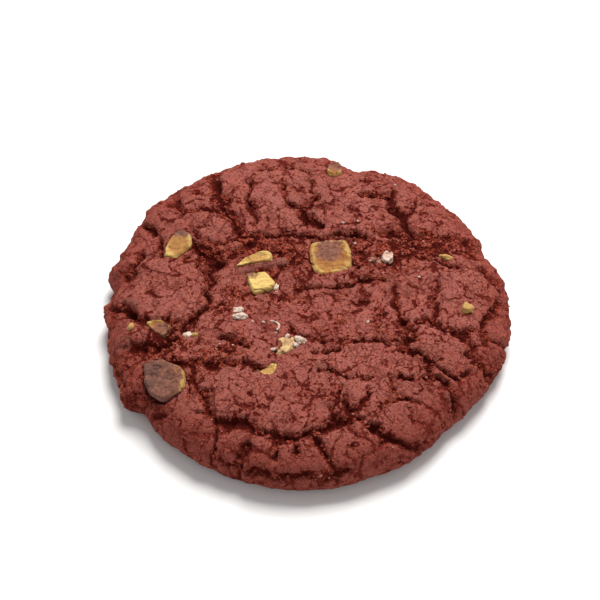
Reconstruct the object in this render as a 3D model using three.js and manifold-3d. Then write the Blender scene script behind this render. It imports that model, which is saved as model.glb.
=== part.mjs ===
// A thick red velvet cookie with a crackled crust, and the pieces of browned white chocolate set in it.
// Millimetres, +Z up, with the origin in the middle of the flat base. The front is towards -Y.
// Places on the crust are plan coordinates [x, y], as seen from above.
import * as THREE from "three";
import { mergeVertices } from "three/addons/utils/BufferGeometryUtils.js";
import Module from "manifold-3d";

// ---------------------------------------------------------------- driving dimensions

// Section of the cookie, from its middle to the edge of its base
const WIDEST_RADIUS = 47.3;
const WIDEST_HEIGHT = 4.5;
const BASE_RADIUS = 45.2;
const CREST_HEIGHT = 13.3;
const MIDDLE_SINK = 0.9;
const SHOULDER_START = 27;
const SHOULDER_POWER = 2.2;

// Where the rim stands out from the round, or falls short of it, as [degrees, half width in degrees, mm]
const RIM_LOBES = [
  [22, 7, -2.2],
  [25, 2.5, 1.3],
  [38, 13, -1.5],
  [62, 4, -0.8],
  [74, 7, -3.2],
  [89, 7, -1.0],
  [90, 6, 0.7],
  [106, 14, 0.9],
  [138, 12, 1.2],
  [157, 6, -1.0],
  [167, 3, 1.2],
  [174, 7, -2.0],
  [188, 6, -1.4],
  [200, 6, -0.9],
  [211.5, 2.6, 1.6],
  [214, 4, -0.8],
  [218, 3.5, -1.0],
  [226, 10, -0.8],
  [240, 12, -0.6],
  [290, 10, -1.0],
  [317, 17, -2.5],
];

// Crust: plates that rise between the fissures, and waves over all of it
const PLATE_RISE = 1.1;
const PLATE_ROUNDING = 2.4;
const FISSURE_EDGE = 1.35;
const WAVE_LENGTH = 9;
const WAVE_HEIGHT = 0.9;
const LUMP_LENGTH = 2.6;
const LUMP_HEIGHT = 0.3;
const CRUMBLY_LUMP_HEIGHT = 0.35;
const WANDER_LENGTH = 3.6;
const WANDER = 0.8;
const RIM_FADE = 6;

// Hollows where the crust fell in, as { at, reach: [x, y], sink }
const HOLLOWS = [
  { at: [-3, 0], reach: [20, 9], sink: 1.0 },
  { at: [12, -13], reach: [12, 7], sink: 0.5 },
  { at: [-31, -16], reach: [11, 5], sink: 1.1 },
  { at: [-24, 12], reach: [4, 3.5], sink: 1.0 },
  { at: [6, 17], reach: [17, 3], sink: 0.7 },
  { at: [33, 14], reach: [10, 4], sink: 0.7 },
];

// The wide fissures between the plates, as { wide, deep, path }
const FISSURES = [
  // back left
  { wide: 2.8, deep: 2.4, path: [[-22, 40], [-21, 30], [-18, 23], [-15, 17]] },
  { wide: 1.6, deep: 1.5, path: [[-13.2, 35], [-14, 28.5], [-12, 23], [-12.2, 20]] },
  { wide: 1.8, deep: 1.6, path: [[-32, 34], [-28.5, 34.5], [-25, 36]] },
  { wide: 1.7, deep: 1.5, path: [[-31, 31], [-29.5, 24.5], [-21.5, 24.5]] },
  { wide: 1.7, deep: 1.6, path: [[-38.4, 23.5], [-36.6, 19.5], [-35.3, 16], [-34.8, 11]] },
  { wide: 2.8, deep: 1.8, path: [[-26, 14.5], [-23, 11], [-20.5, 9], [-15, 12], [-9.5, 14.5]] },
  // back right
  { wide: 1.8, deep: 1.7, path: [[-5, 33], [-4.5, 28.5], [-0.5, 25.3], [3, 29]] },
  { wide: 2.4, deep: 1.8, path: [[-0.5, 25.5], [0.5, 22.5], [3.4, 21]] },
  { wide: 2.6, deep: 1.5, path: [[-15.5, 17], [-8, 17], [0, 17.5], [8, 18], [15, 16.5]] },
  { wide: 2.2, deep: 2.0, path: [[14, 31], [20, 30], [22, 26], [25, 21.5], [26.8, 15.3]] },
  { wide: 2.0, deep: 1.3, path: [[19, 17.8], [27, 17.5], [34, 17.6], [41, 18]] },
  // left
  { wide: 2.2, deep: 1.9, path: [[-20.8, 8.5], [-23, 1.5], [-24, -5], [-27.5, -12]] },
  { wide: 2.2, deep: 1.5, path: [[-44, 6.5], [-41, 9], [-39.8, 12.5]] },
  { wide: 2.0, deep: 1.7, path: [[-45.5, -1.5], [-41, -5.5], [-36, -9], [-29.5, -8.8]] },
  { wide: 2.3, deep: 1.6, path: [[-30, -19.5], [-22, -21.3], [-15, -21], [-12, -21.2]] },
  { wide: 2.2, deep: 1.5, path: [[-25.8, -21], [-24.5, -28], [-20.8, -35.5]] },
  // middle
  { wide: 1.8, deep: 1.3, path: [[-1.5, 2.8], [9.5, 2], [17.5, 4.2]] },
  { wide: 1.6, deep: 1.2, path: [[-3.5, -10], [1, -13.5], [9.5, -14.8], [20.5, -16]] },
  // right
  { wide: 2.4, deep: 1.6, path: [[20.3, 2], [22, -7], [25, -12.8], [23.6, -17], [27, -18]] },
  { wide: 1.9, deep: 1.6, path: [[26, -8.8], [35.5, -12.2], [38.8, -14.8]] },
  { wide: 1.6, deep: 1.3, path: [[36.3, -12], [40, -10.8], [49, -10.3]] },
  { wide: 1.6, deep: 1.2, path: [[31, 3], [30, -3.5], [28.5, -8.8]] },
  { wide: 1.6, deep: 1.3, path: [[46, 1], [43.2, -5], [40.8, -10.8]] },
  { wide: 2.3, deep: 1.7, path: [[41.5, 9], [44, 5], [46, 3]] },
  { wide: 2.2, deep: 2.0, path: [[27, -18], [29.2, -22.8], [33, -26.3], [37, -33]] },
  { wide: 1.7, deep: 1.5, path: [[29.3, -20], [34.8, -23.8], [38, -22.5]] },
  { wide: 1.7, deep: 1.4, path: [[38, -16], [40, -18.8], [46, -20]] },
  // front
  { wide: 2.2, deep: 2.0, path: [[-20.8, -35.5], [-14.5, -36.6], [-9.5, -39], [-1, -39.6], [5.5, -37.6]] },
  { wide: 2.0, deep: 1.8, path: [[5.5, -37.6], [12, -36.4], [18, -39.6], [29, -40]] },
  { wide: 1.6, deep: 1.5, path: [[-20.3, -36.5], [-20.6, -40], [-22, -45]] },
  { wide: 1.7, deep: 1.6, path: [[-13.5, -40], [-14.5, -44], [-15.5, -49]] },
  { wide: 1.6, deep: 1.4, path: [[-2, -40.5], [-1.8, -44]] },
  { wide: 2.0, deep: 1.7, path: [[2, -40.5], [4.5, -44.5], [8, -49]] },
  { wide: 1.8, deep: 1.6, path: [[14.6, -28.5], [12, -33.6], [9.8, -36.5]] },
  { wide: 1.8, deep: 1.4, path: [[20, -29.5], [20.5, -26.8], [27, -25]] },
];

// Pieces of chocolate: corners of the face that shows, thickness, and how far that face stands over the crust
const CHUNKS = {
  chunk_square: {
    corners: [[1.2, 15.7], [9.6, 16.4], [11.2, 10.3], [9.8, 7.1], [3.2, 6.1], [1.3, 9.3]],
    thick: 4.2,
    proud: 0.5,
  },
  chunk_left: {
    corners: [[-32.6, 15.8], [-30, 18.9], [-27.3, 17.3], [-27.5, 13.3], [-30.6, 9.9], [-33.6, 10.9]],
    thick: 4,
    proud: 0.8,
  },
  chunk_arch: {
    corners: [[-16.5, 6.9], [-14.6, 9.6], [-9.9, 12.1], [-7.9, 11], [-8.1, 9.2], [-12.4, 8.2]],
    thick: 3.2,
    proud: 1.2,
  },
  chunk_bright: {
    corners: [[-14.1, 5.8], [-9.6, 6.1], [-7.3, 3.4], [-8.1, 1.6], [-12.1, 0.2], [-13.5, 3]],
    thick: 4,
    proud: 1,
  },
  chunk_large: {
    corners: [[-36.8, -19.8], [-32.6, -19.1], [-27.8, -22.1], [-27.4, -26.8], [-31.5, -29.3], [-35.7, -26.8]],
    thick: 5,
    proud: 1.3,
  },
  chunk_tucked: {
    corners: [[-37.2, -8], [-33.8, -7.5], [-31.1, -9.8], [-32.3, -12.4], [-35, -10.8]],
    thick: 3.6,
    proud: 0.4,
  },
  chunk_back: {
    corners: [[5, 37.2], [6.4, 41], [8.6, 41], [8.9, 37.4], [6.6, 35.8]],
    thick: 3.6,
    proud: 0,
  },
  chunk_white: {
    corners: [[18, 9.3], [18.6, 11.4], [20.6, 11.2], [20.8, 9.6], [19.4, 8]],
    thick: 3,
    proud: 0.6,
  },
  chunk_crumbled: {
    corners: [[-6.1, -13.6], [-2.9, -13.4], [-2.5, -15.8], [-4.1, -18.1], [-7.1, -17.9], [-5.5, -16]],
    thick: 3.2,
    proud: 0.6,
  },
  chunk_sliver: {
    corners: [[-12, -22.4], [-9.5, -22], [-7.6, -20.2], [-6.4, -20.9], [-7.4, -23.5], [-9.4, -23.8]],
    thick: 3,
    proud: 0.5,
  },
};
const CHUNK_SIDES = 18;
const CHUNK_ROUNDING = 0.7;
const CHUNK_DISH = 0.3;
const CHUNK_ROUGHNESS = 0.25;
const CHUNK_GRAIN = 1.9;
const POCKET_GAP = 0.3;
const POCKET_REACH = 7;

// Small bits fused to the crust, as { at, size: [long, wide, high], turn in degrees }. They sink in by a share of
// their height.
const BITS = [
  { at: [37.1, -4.9], size: [2.8, 2.3, 1.8], turn: 10 },
  { at: [34.8, 11.5], size: [3, 1.5, 1.5], turn: -8 },
  { at: [-15.6, -5.6], size: [1.8, 1.5, 1.5], turn: 0 },
  { at: [-15.2, -7.9], size: [2.6, 1.5, 1.5], turn: 5 },
  { at: [-27.6, -12.4], size: [2.2, 1.3, 1.4], turn: 15 },
  { at: [-1.4, -14.9], size: [1.8, 1.5, 1.5], turn: 20 },
  { at: [16.4, 8.9], size: [2.6, 1.5, 1.4], turn: 50 },
  { at: [-40.7, -2.2], size: [2.2, 1.7, 1.6], turn: -40 },
  { at: [31.8, -27.6], size: [3.6, 2.6, 2.2], turn: -30 },
];
const BIT_SINK = 0.45;

// Fineness of the faceted crust: rings from the middle to the edge of the base
const CRUST_RINGS = 38;

// ---------------------------------------------------------------- section of the cookie

class CookieSection extends THREE.Curve {
  // From the middle of the top (t = 0) over the shoulder and the widest ring to the edge of the base (t = 1).
  getPoint(t, target = new THREE.Vector2()) {
    const SHOULDER_AT = 0.45;
    const WIDEST_AT = 0.88;
    if (t < SHOULDER_AT) {
      const out = t / SHOULDER_AT;
      return target.set(SHOULDER_START * out, CREST_HEIGHT - MIDDLE_SINK * (1 - out * out) ** 2);
    }
    if (t < WIDEST_AT) {
      const angle = ((t - SHOULDER_AT) / (WIDEST_AT - SHOULDER_AT)) * (Math.PI / 2);
      const out = Math.sin(angle) ** (2 / SHOULDER_POWER);
      const up = Math.cos(angle) ** (2 / SHOULDER_POWER);
      return target.set(
        SHOULDER_START + (WIDEST_RADIUS - SHOULDER_START) * out,
        WIDEST_HEIGHT + (CREST_HEIGHT - WIDEST_HEIGHT) * up,
      );
    }
    const angle = ((t - WIDEST_AT) / (1 - WIDEST_AT)) * (Math.PI / 2);
    return target.set(
      BASE_RADIUS + (WIDEST_RADIUS - BASE_RADIUS) * Math.cos(angle),
      WIDEST_HEIGHT * (1 - Math.sin(angle)),
    );
  }
}

const SECTION_STEPS = 600;
const section = new CookieSection();
section.arcLengthDivisions = SECTION_STEPS;
const SECTION_LENGTH = section.getLength();
const sectionPoints = section.getSpacedPoints(SECTION_STEPS);

// Distance along the section from the middle to a radius. Past the widest ring it runs on down the side.
function runTo(radius) {
  const step = sectionPoints.findIndex((p) => p.x >= Math.min(radius, WIDEST_RADIUS - 0.01));
  return (step / SECTION_STEPS) * SECTION_LENGTH + Math.max(0, radius - WIDEST_RADIUS);
}

// Height of the bare section at a radius on the upper side.
function topHeight(radius) {
  return sectionPoints[Math.round((runTo(radius) / SECTION_LENGTH) * SECTION_STEPS)].y;
}

// A plan place [x, y], laid out flat so that its distance from the middle is the run along the section.
function laidOut([x, y]) {
  const radius = Math.hypot(x, y);
  return new THREE.Vector2(x, y).multiplyScalar(runTo(radius) / radius);
}

// ---------------------------------------------------------------- relief of the crust

const smooth = (t) => THREE.MathUtils.smoothstep(t, 0, 1);

function hash(i, j, k) {
  const s = Math.sin(i * 127.1 + j * 311.7 + k * 74.7) * 43758.5453;
  return 2 * (s - Math.floor(s)) - 1;
}

// Smooth noise from -1 to 1 over the plane, with a value for each whole-numbered point. Each layer differs.
function noise(x, y, layer) {
  const i = Math.floor(x);
  const j = Math.floor(y);
  const across = smooth(x - i);
  const near = THREE.MathUtils.lerp(hash(i, j, layer), hash(i + 1, j, layer), across);
  const far = THREE.MathUtils.lerp(hash(i, j + 1, layer), hash(i + 1, j + 1, layer), across);
  return THREE.MathUtils.lerp(near, far, smooth(y - j));
}

function distanceToSegment(p, a, b) {
  const along = b.clone().sub(a);
  const share = THREE.MathUtils.clamp(p.clone().sub(a).dot(along) / along.lengthSq(), 0, 1);
  return p.distanceTo(a.clone().addScaledVector(along, share));
}

const STEPS_PER_SPAN = 5;
const fissureLines = FISSURES.map(({ wide, deep, path }) => ({
  half: wide / 2,
  deep,
  line: new THREE.SplineCurve(path.map(laidOut)).getPoints(STEPS_PER_SPAN * (path.length - 1)),
}));

// Height of the crust over the bare section, at a place laid out flat.
function relief(place) {
  const waviness = (length, layer) => noise(place.x / length, place.y / length, layer);
  const wandered = new THREE.Vector2(
    place.x + WANDER * waviness(WANDER_LENGTH, 1),
    place.y + WANDER * waviness(WANDER_LENGTH, 2),
  );
  let clear = Infinity;
  let groove = 0;
  for (const { half, deep, line } of fissureLines) {
    let distance = Infinity;
    for (let i = 1; i < line.length; i++) {
      distance = Math.min(distance, distanceToSegment(wandered, line[i - 1], line[i]));
    }
    clear = Math.min(clear, distance - half);
    groove = Math.max(groove, deep * smooth((half + FISSURE_EDGE - distance) / (2 * FISSURE_EDGE)));
  }
  const plate = PLATE_RISE * (1 - Math.exp(-Math.max(clear, 0) / PLATE_ROUNDING));
  const waves = WAVE_HEIGHT * waviness(WAVE_LENGTH, 3);
  const sunk = HOLLOWS.reduce(
    (sum, { at, reach, sink }) =>
      sum + sink * Math.exp(-(((place.x - at[0]) / reach[0]) ** 2) - ((place.y - at[1]) / reach[1]) ** 2),
    0,
  );
  const lumps = (LUMP_HEIGHT + CRUMBLY_LUMP_HEIGHT * sunk) * waviness(LUMP_LENGTH, 4);
  return plate + waves + lumps - groove - sunk;
}

// How far the rim stands out at an angle, in mm.
function rimLobe(angle) {
  return RIM_LOBES.reduce((sum, [degrees, halfWidth, bulge]) => {
    const off = THREE.MathUtils.euclideanModulo(THREE.MathUtils.radToDeg(angle) - degrees + 180, 360) - 180;
    return sum + bulge * Math.exp(-((off / halfWidth) ** 2));
  }, 0);
}

// A point of the crust: run is the distance along the section from the middle, angle goes round the cookie.
function crustPoint(run, angle) {
  const share = run / SECTION_LENGTH;
  const on = section.getPointAt(share);
  const along = section.getTangentAt(share);
  const place = new THREE.Vector2(run * Math.cos(angle), run * Math.sin(angle));
  const rise = relief(place) * smooth((SECTION_LENGTH - run) / RIM_FADE);
  const radius = on.x + rimLobe(angle) * smooth(on.x / WIDEST_RADIUS) - along.y * rise;
  const height = Math.max(0, on.y + along.x * rise);
  return new THREE.Vector3(radius * Math.cos(angle), radius * Math.sin(angle), height);
}

// ---------------------------------------------------------------- solids

const wasm = await Module();
wasm.setup();

function toSolid(geometry) {
  const bare = new THREE.BufferGeometry().setAttribute("position", geometry.getAttribute("position"));
  bare.setIndex(geometry.index);
  const merged = mergeVertices(bare, 1e-4);
  return new wasm.Manifold(
    new wasm.Mesh({
      numProp: 3,
      vertProperties: merged.attributes.position.array,
      triVerts: new Uint32Array(merged.index.array),
    }),
  );
}

function toGeometry(solid) {
  const { vertProperties, triVerts } = solid.getMesh();
  const geometry = new THREE.BufferGeometry();
  geometry.setAttribute("position", new THREE.BufferAttribute(vertProperties, 3));
  geometry.setIndex(new THREE.BufferAttribute(triVerts, 1));
  geometry.computeVertexNormals();
  return geometry;
}

function geometryFrom(points, faces) {
  const geometry = new THREE.BufferGeometry().setFromPoints(points);
  geometry.setIndex(faces.flat());
  return geometry;
}

// The bare cookie. Ring k has 6k points, so its triangles are all about the same size. A fan closes the base.
function cookieGeometry() {
  const points = [crustPoint(0, 0)];
  const index = (ring, j) => (ring === 0 ? 0 : 1 + 3 * ring * (ring - 1) + (j % (6 * ring)));
  for (let ring = 1; ring <= CRUST_RINGS; ring++) {
    for (let j = 0; j < 6 * ring; j++) {
      points.push(crustPoint((ring / CRUST_RINGS) * SECTION_LENGTH, (j / (6 * ring)) * 2 * Math.PI));
    }
  }
  const faces = [];
  for (let ring = 0; ring < CRUST_RINGS; ring++) {
    for (let sixth = 0; sixth < 6; sixth++) {
      for (let i = 0; i <= ring; i++) {
        const inner = sixth * ring + i;
        const outer = sixth * (ring + 1) + i;
        faces.push([index(ring, inner), index(ring + 1, outer), index(ring + 1, outer + 1)]);
        if (i < ring) faces.push([index(ring, inner), index(ring + 1, outer + 1), index(ring, inner + 1)]);
      }
    }
  }
  const baseMiddle = points.push(new THREE.Vector3(0, 0, 0)) - 1;
  for (let j = 0; j < 6 * CRUST_RINGS; j++) {
    faces.push([baseMiddle, index(CRUST_RINGS, j + 1), index(CRUST_RINGS, j)]);
  }
  return geometryFrom(points, faces);
}

// Rings of equally many points, one above another, closed by a middle point below and above.
function stackedGeometry(below, rings, above) {
  const sides = rings[0].length;
  const points = [below, ...rings.flat(), above];
  const index = (ring, j) => 1 + ring * sides + (j % sides);
  const faces = [];
  for (let j = 0; j < sides; j++) {
    faces.push([0, index(0, j + 1), index(0, j)]);
    faces.push([points.length - 1, index(rings.length - 1, j), index(rings.length - 1, j + 1)]);
    for (let ring = 0; ring + 1 < rings.length; ring++) {
      faces.push([index(ring, j), index(ring, j + 1), index(ring + 1, j + 1)]);
      faces.push([index(ring, j), index(ring + 1, j + 1), index(ring + 1, j)]);
    }
  }
  return geometryFrom(points, faces);
}

// A sloping plane along the crust at a plan place, raised over the bare section. It gives the point at a plan
// offset dx, dy from there, at a height over the plane.
function seatAt([x, y], raised) {
  const radius = Math.hypot(x, y);
  const along = section.getTangentAt(runTo(radius) / SECTION_LENGTH);
  const normal = new THREE.Vector3((-along.y * x) / radius, (-along.y * y) / radius, along.x).normalize();
  const middle = new THREE.Vector3(x, y, topHeight(radius)).addScaledVector(normal, raised);
  return (dx, dy, height) => {
    const dz = -(normal.x * dx + normal.y * dy) / normal.z;
    return new THREE.Vector3(dx, dy, dz).add(middle).addScaledVector(normal, height);
  };
}

// A solid on the outline through the corners. Its levels are [share of the outline, height, roughness].
function chunkGeometry({ corners, levels, bottom, top, grown }) {
  const mean = (values) => values.reduce((sum, value) => sum + value, 0) / values.length;
  const middle = [mean(corners.map(([x]) => x)), mean(corners.map(([, y]) => y))];
  const seat = seatAt(middle, mean(corners.map((corner) => relief(laidOut(corner)))));
  const curve = new THREE.CatmullRomCurve3(
    corners.map(([x, y]) => new THREE.Vector3(x - middle[0], y - middle[1], 0)),
    true,
    "catmullrom",
    0.35,
  );
  const outline = curve.getPoints(CHUNK_SIDES).slice(0, CHUNK_SIDES);
  if (THREE.ShapeUtils.area(outline) < 0) outline.reverse();
  const rings = levels.map(([share, height, roughness]) =>
    outline.map((p) => {
      const reach = share + grown / p.length();
      const [dx, dy] = [p.x * reach, p.y * reach];
      const bump = noise((middle[0] + dx) / CHUNK_GRAIN, (middle[1] + dy) / CHUNK_GRAIN, 5);
      return seat(dx, dy, height + roughness * bump);
    }),
  );
  return stackedGeometry(seat(0, 0, bottom), rings, seat(0, 0, top));
}

// Up from the lower face, round its edge, up the side, round the upper edge and in to the dished upper face
function chunkSolid({ corners, thick, proud }) {
  const bottom = proud - thick;
  const levels = [
    [0.72, bottom, 0],
    [0.98, bottom + CHUNK_ROUNDING, 0],
    [1, proud - CHUNK_ROUNDING, CHUNK_ROUGHNESS],
    [0.86, proud, CHUNK_ROUGHNESS],
    [0.5, proud - CHUNK_DISH, CHUNK_ROUGHNESS],
  ];
  return chunkGeometry({ corners, levels, bottom, top: proud - CHUNK_DISH, grown: 0 });
}

// The room that a piece needs in the crust, open above
function pocketSolid({ corners, thick, proud }) {
  const bottom = proud - thick - POCKET_GAP;
  const levels = [
    [0.78, bottom, 0],
    [1, bottom + CHUNK_ROUNDING, 0],
    [1, proud + POCKET_REACH, 0],
  ];
  return chunkGeometry({ corners, levels, bottom, top: proud + POCKET_REACH, grown: POCKET_GAP });
}

function bitSolid({ at, size, turn }) {
  const [long, wide, high] = size;
  const place = laidOut(at);
  const ground = crustPoint(place.length(), Math.atan2(place.y, place.x));
  const geometry = new THREE.IcosahedronGeometry(0.5, 1);
  geometry.scale(long, wide, high);
  geometry.rotateZ(THREE.MathUtils.degToRad(turn));
  geometry.translate(ground.x, ground.y, ground.z + high * (0.5 - BIT_SINK));
  return geometry;
}

// ---------------------------------------------------------------- the object

const crustMaterial = new THREE.MeshStandardMaterial({ color: 0x93463e, roughness: 0.92, metalness: 0 });
const chocolateMaterial = new THREE.MeshStandardMaterial({ color: 0xd9a862, roughness: 0.5, metalness: 0 });

function part(name, geometry, material) {
  const mesh = new THREE.Mesh(geometry, material);
  mesh.name = name;
  return mesh;
}

let crust = toSolid(cookieGeometry());
for (const bit of BITS) crust = crust.add(toSolid(bitSolid(bit)));
for (const chunk of Object.values(CHUNKS)) crust = crust.subtract(toSolid(pocketSolid(chunk)));

const cookie = new THREE.Group();
cookie.add(part("cookie", toGeometry(crust), crustMaterial));
for (const [name, chunk] of Object.entries(CHUNKS)) {
  cookie.add(part(name, chunkSolid(chunk), chocolateMaterial));
}

export default cookie;
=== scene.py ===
"""Looks of a red velvet cookie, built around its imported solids: the crackled crust, the chocolate pieces set
in it, small bits and loose crumbs, and a plain stage. Sizes in the code are in millimetres unless a name says
otherwise, and become metres where a mesh is made. Places on the crust are plan coordinates (x, y), seen from
above."""

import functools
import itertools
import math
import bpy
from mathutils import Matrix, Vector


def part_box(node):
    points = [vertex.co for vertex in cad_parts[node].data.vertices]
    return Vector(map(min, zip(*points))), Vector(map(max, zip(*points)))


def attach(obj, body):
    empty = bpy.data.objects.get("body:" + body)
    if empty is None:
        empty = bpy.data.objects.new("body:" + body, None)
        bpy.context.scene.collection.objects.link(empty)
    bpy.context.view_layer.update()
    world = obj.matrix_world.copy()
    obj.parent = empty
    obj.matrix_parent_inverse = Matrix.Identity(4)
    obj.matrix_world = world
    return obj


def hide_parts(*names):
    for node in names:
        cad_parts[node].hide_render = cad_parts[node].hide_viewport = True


bl_info = {
    "name": "Red Velvet Cookie",
    "version": (1, 0, 0),
    "blender": (4, 5, 0),
    "location": "3D View > Sidebar > Cookie",
    "description": "Builds the crust, chocolate pieces, crumbs and stage of a red velvet cookie",
    "category": "Object",
}

from collections import namedtuple

import bmesh
import bpy
import numpy as np
from mathutils import Matrix, Vector
from mathutils.bvhtree import BVHTree

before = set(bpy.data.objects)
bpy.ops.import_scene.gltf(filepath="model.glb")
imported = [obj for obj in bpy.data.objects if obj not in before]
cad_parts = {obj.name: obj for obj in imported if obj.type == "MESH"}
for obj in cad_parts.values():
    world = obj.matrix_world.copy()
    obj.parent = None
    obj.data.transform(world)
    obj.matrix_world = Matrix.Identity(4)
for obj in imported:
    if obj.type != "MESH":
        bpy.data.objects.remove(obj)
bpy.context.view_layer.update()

BODY = "root"
MM = 0.001

# ---- sizes of the cookie

WIDEST_RADIUS = 47.3
WIDEST_HEIGHT = 4.5
BASE_RADIUS = 45.2
CREST_HEIGHT = 13.3
MIDDLE_SINK = 0.9
SHOULDER_START = 27.0
SHOULDER_POWER = 2.2
RIM_FADE = 6.0

# Where the rim stands out from the round or falls short of it: degrees, half width in degrees, mm
RIM_LOBES = (
    (22, 7, -2.2),
    (25, 2.5, 1.3),
    (38, 13, -1.5),
    (62, 4, -0.8),
    (74, 7, -3.2),
    (89, 7, -1.0),
    (90, 6, 0.7),
    (106, 14, 0.9),
    (138, 12, 1.2),
    (157, 6, -1.0),
    (167, 3, 1.2),
    (174, 7, -2.0),
    (188, 6, -1.4),
    (200, 6, -0.9),
    (211.5, 2.6, 1.6),
    (214, 4, -0.8),
    (218, 3.5, -1.0),
    (226, 10, -0.8),
    (240, 12, -0.6),
    (290, 10, -1.0),
    (317, 17, -2.5),
)
# Small chips and lumps of the rim, in the same measures
RIM_CHIPS = (
    (34, 3, 0.4),
    (113, 4, -0.8),
    (120, 2, 0.7),
    (136, 2, -0.7),
    (172, 2, -0.7),
    (180, 2, 0.9),
    (199, 3, 0.8),
    (228, 2, 0.6),
)

# Hollows where the crust fell in and rough crumb shows: place, reach in x and y, depth
HOLLOWS = (
    ((-7, 0), (17, 8), 1.0),
    ((12, -13), (12, 7), 0.3),
    ((-37, -15), (5, 2.5), 0.6),
    ((-31, -16), (11, 5), 1.1),
    ((-24, 12), (4, 3.5), 1.0),
    ((6, 17), (17, 3), 0.35),
    ((33, 14), (10, 4), 0.7),
)

# Crumbly places without a hollow: place, reach in x and y, strength
CRUMBLY = (
    ((2, 11), (24, 5), 1.9),
    ((24, 12), (9, 4.5), 1.1),
    ((6, -9), (14, 5), 0.3),
    ((-39, -14), (6, 8), 1.3),
    ((-40, -27), (6, 5), 1.2),
    ((-24, -26), (5, 6), 0.9),
    ((-27.5, 32), (3, 2), 0.9),
    ((22, -14), (5, 6), 0.5),
    ((36, 15), (9, 4), 0.5),
    ((-23, 3), (4, 9), 0.8),
    ((21, 8), (7, 8), 0.7),
    ((-20, -15), (10, 5), 1.1),
    ((30, -30), (12, 6), 0.3),
)

# Places where the open crumb is darker: place, reach in x and y, strength
DARK_CRUMB = (
    ((-41, -17), (5, 5), 0.6),
    ((-39, -26), (6, 4), 0.65),
    ((-24, -26), (5, 6), 0.5),
    ((-22, 4), (4, 9), 0.45),
    ((-36, -14), (6, 3), 0.5),
    ((-27.5, 32), (3, 2), 0.6),
)

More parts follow.
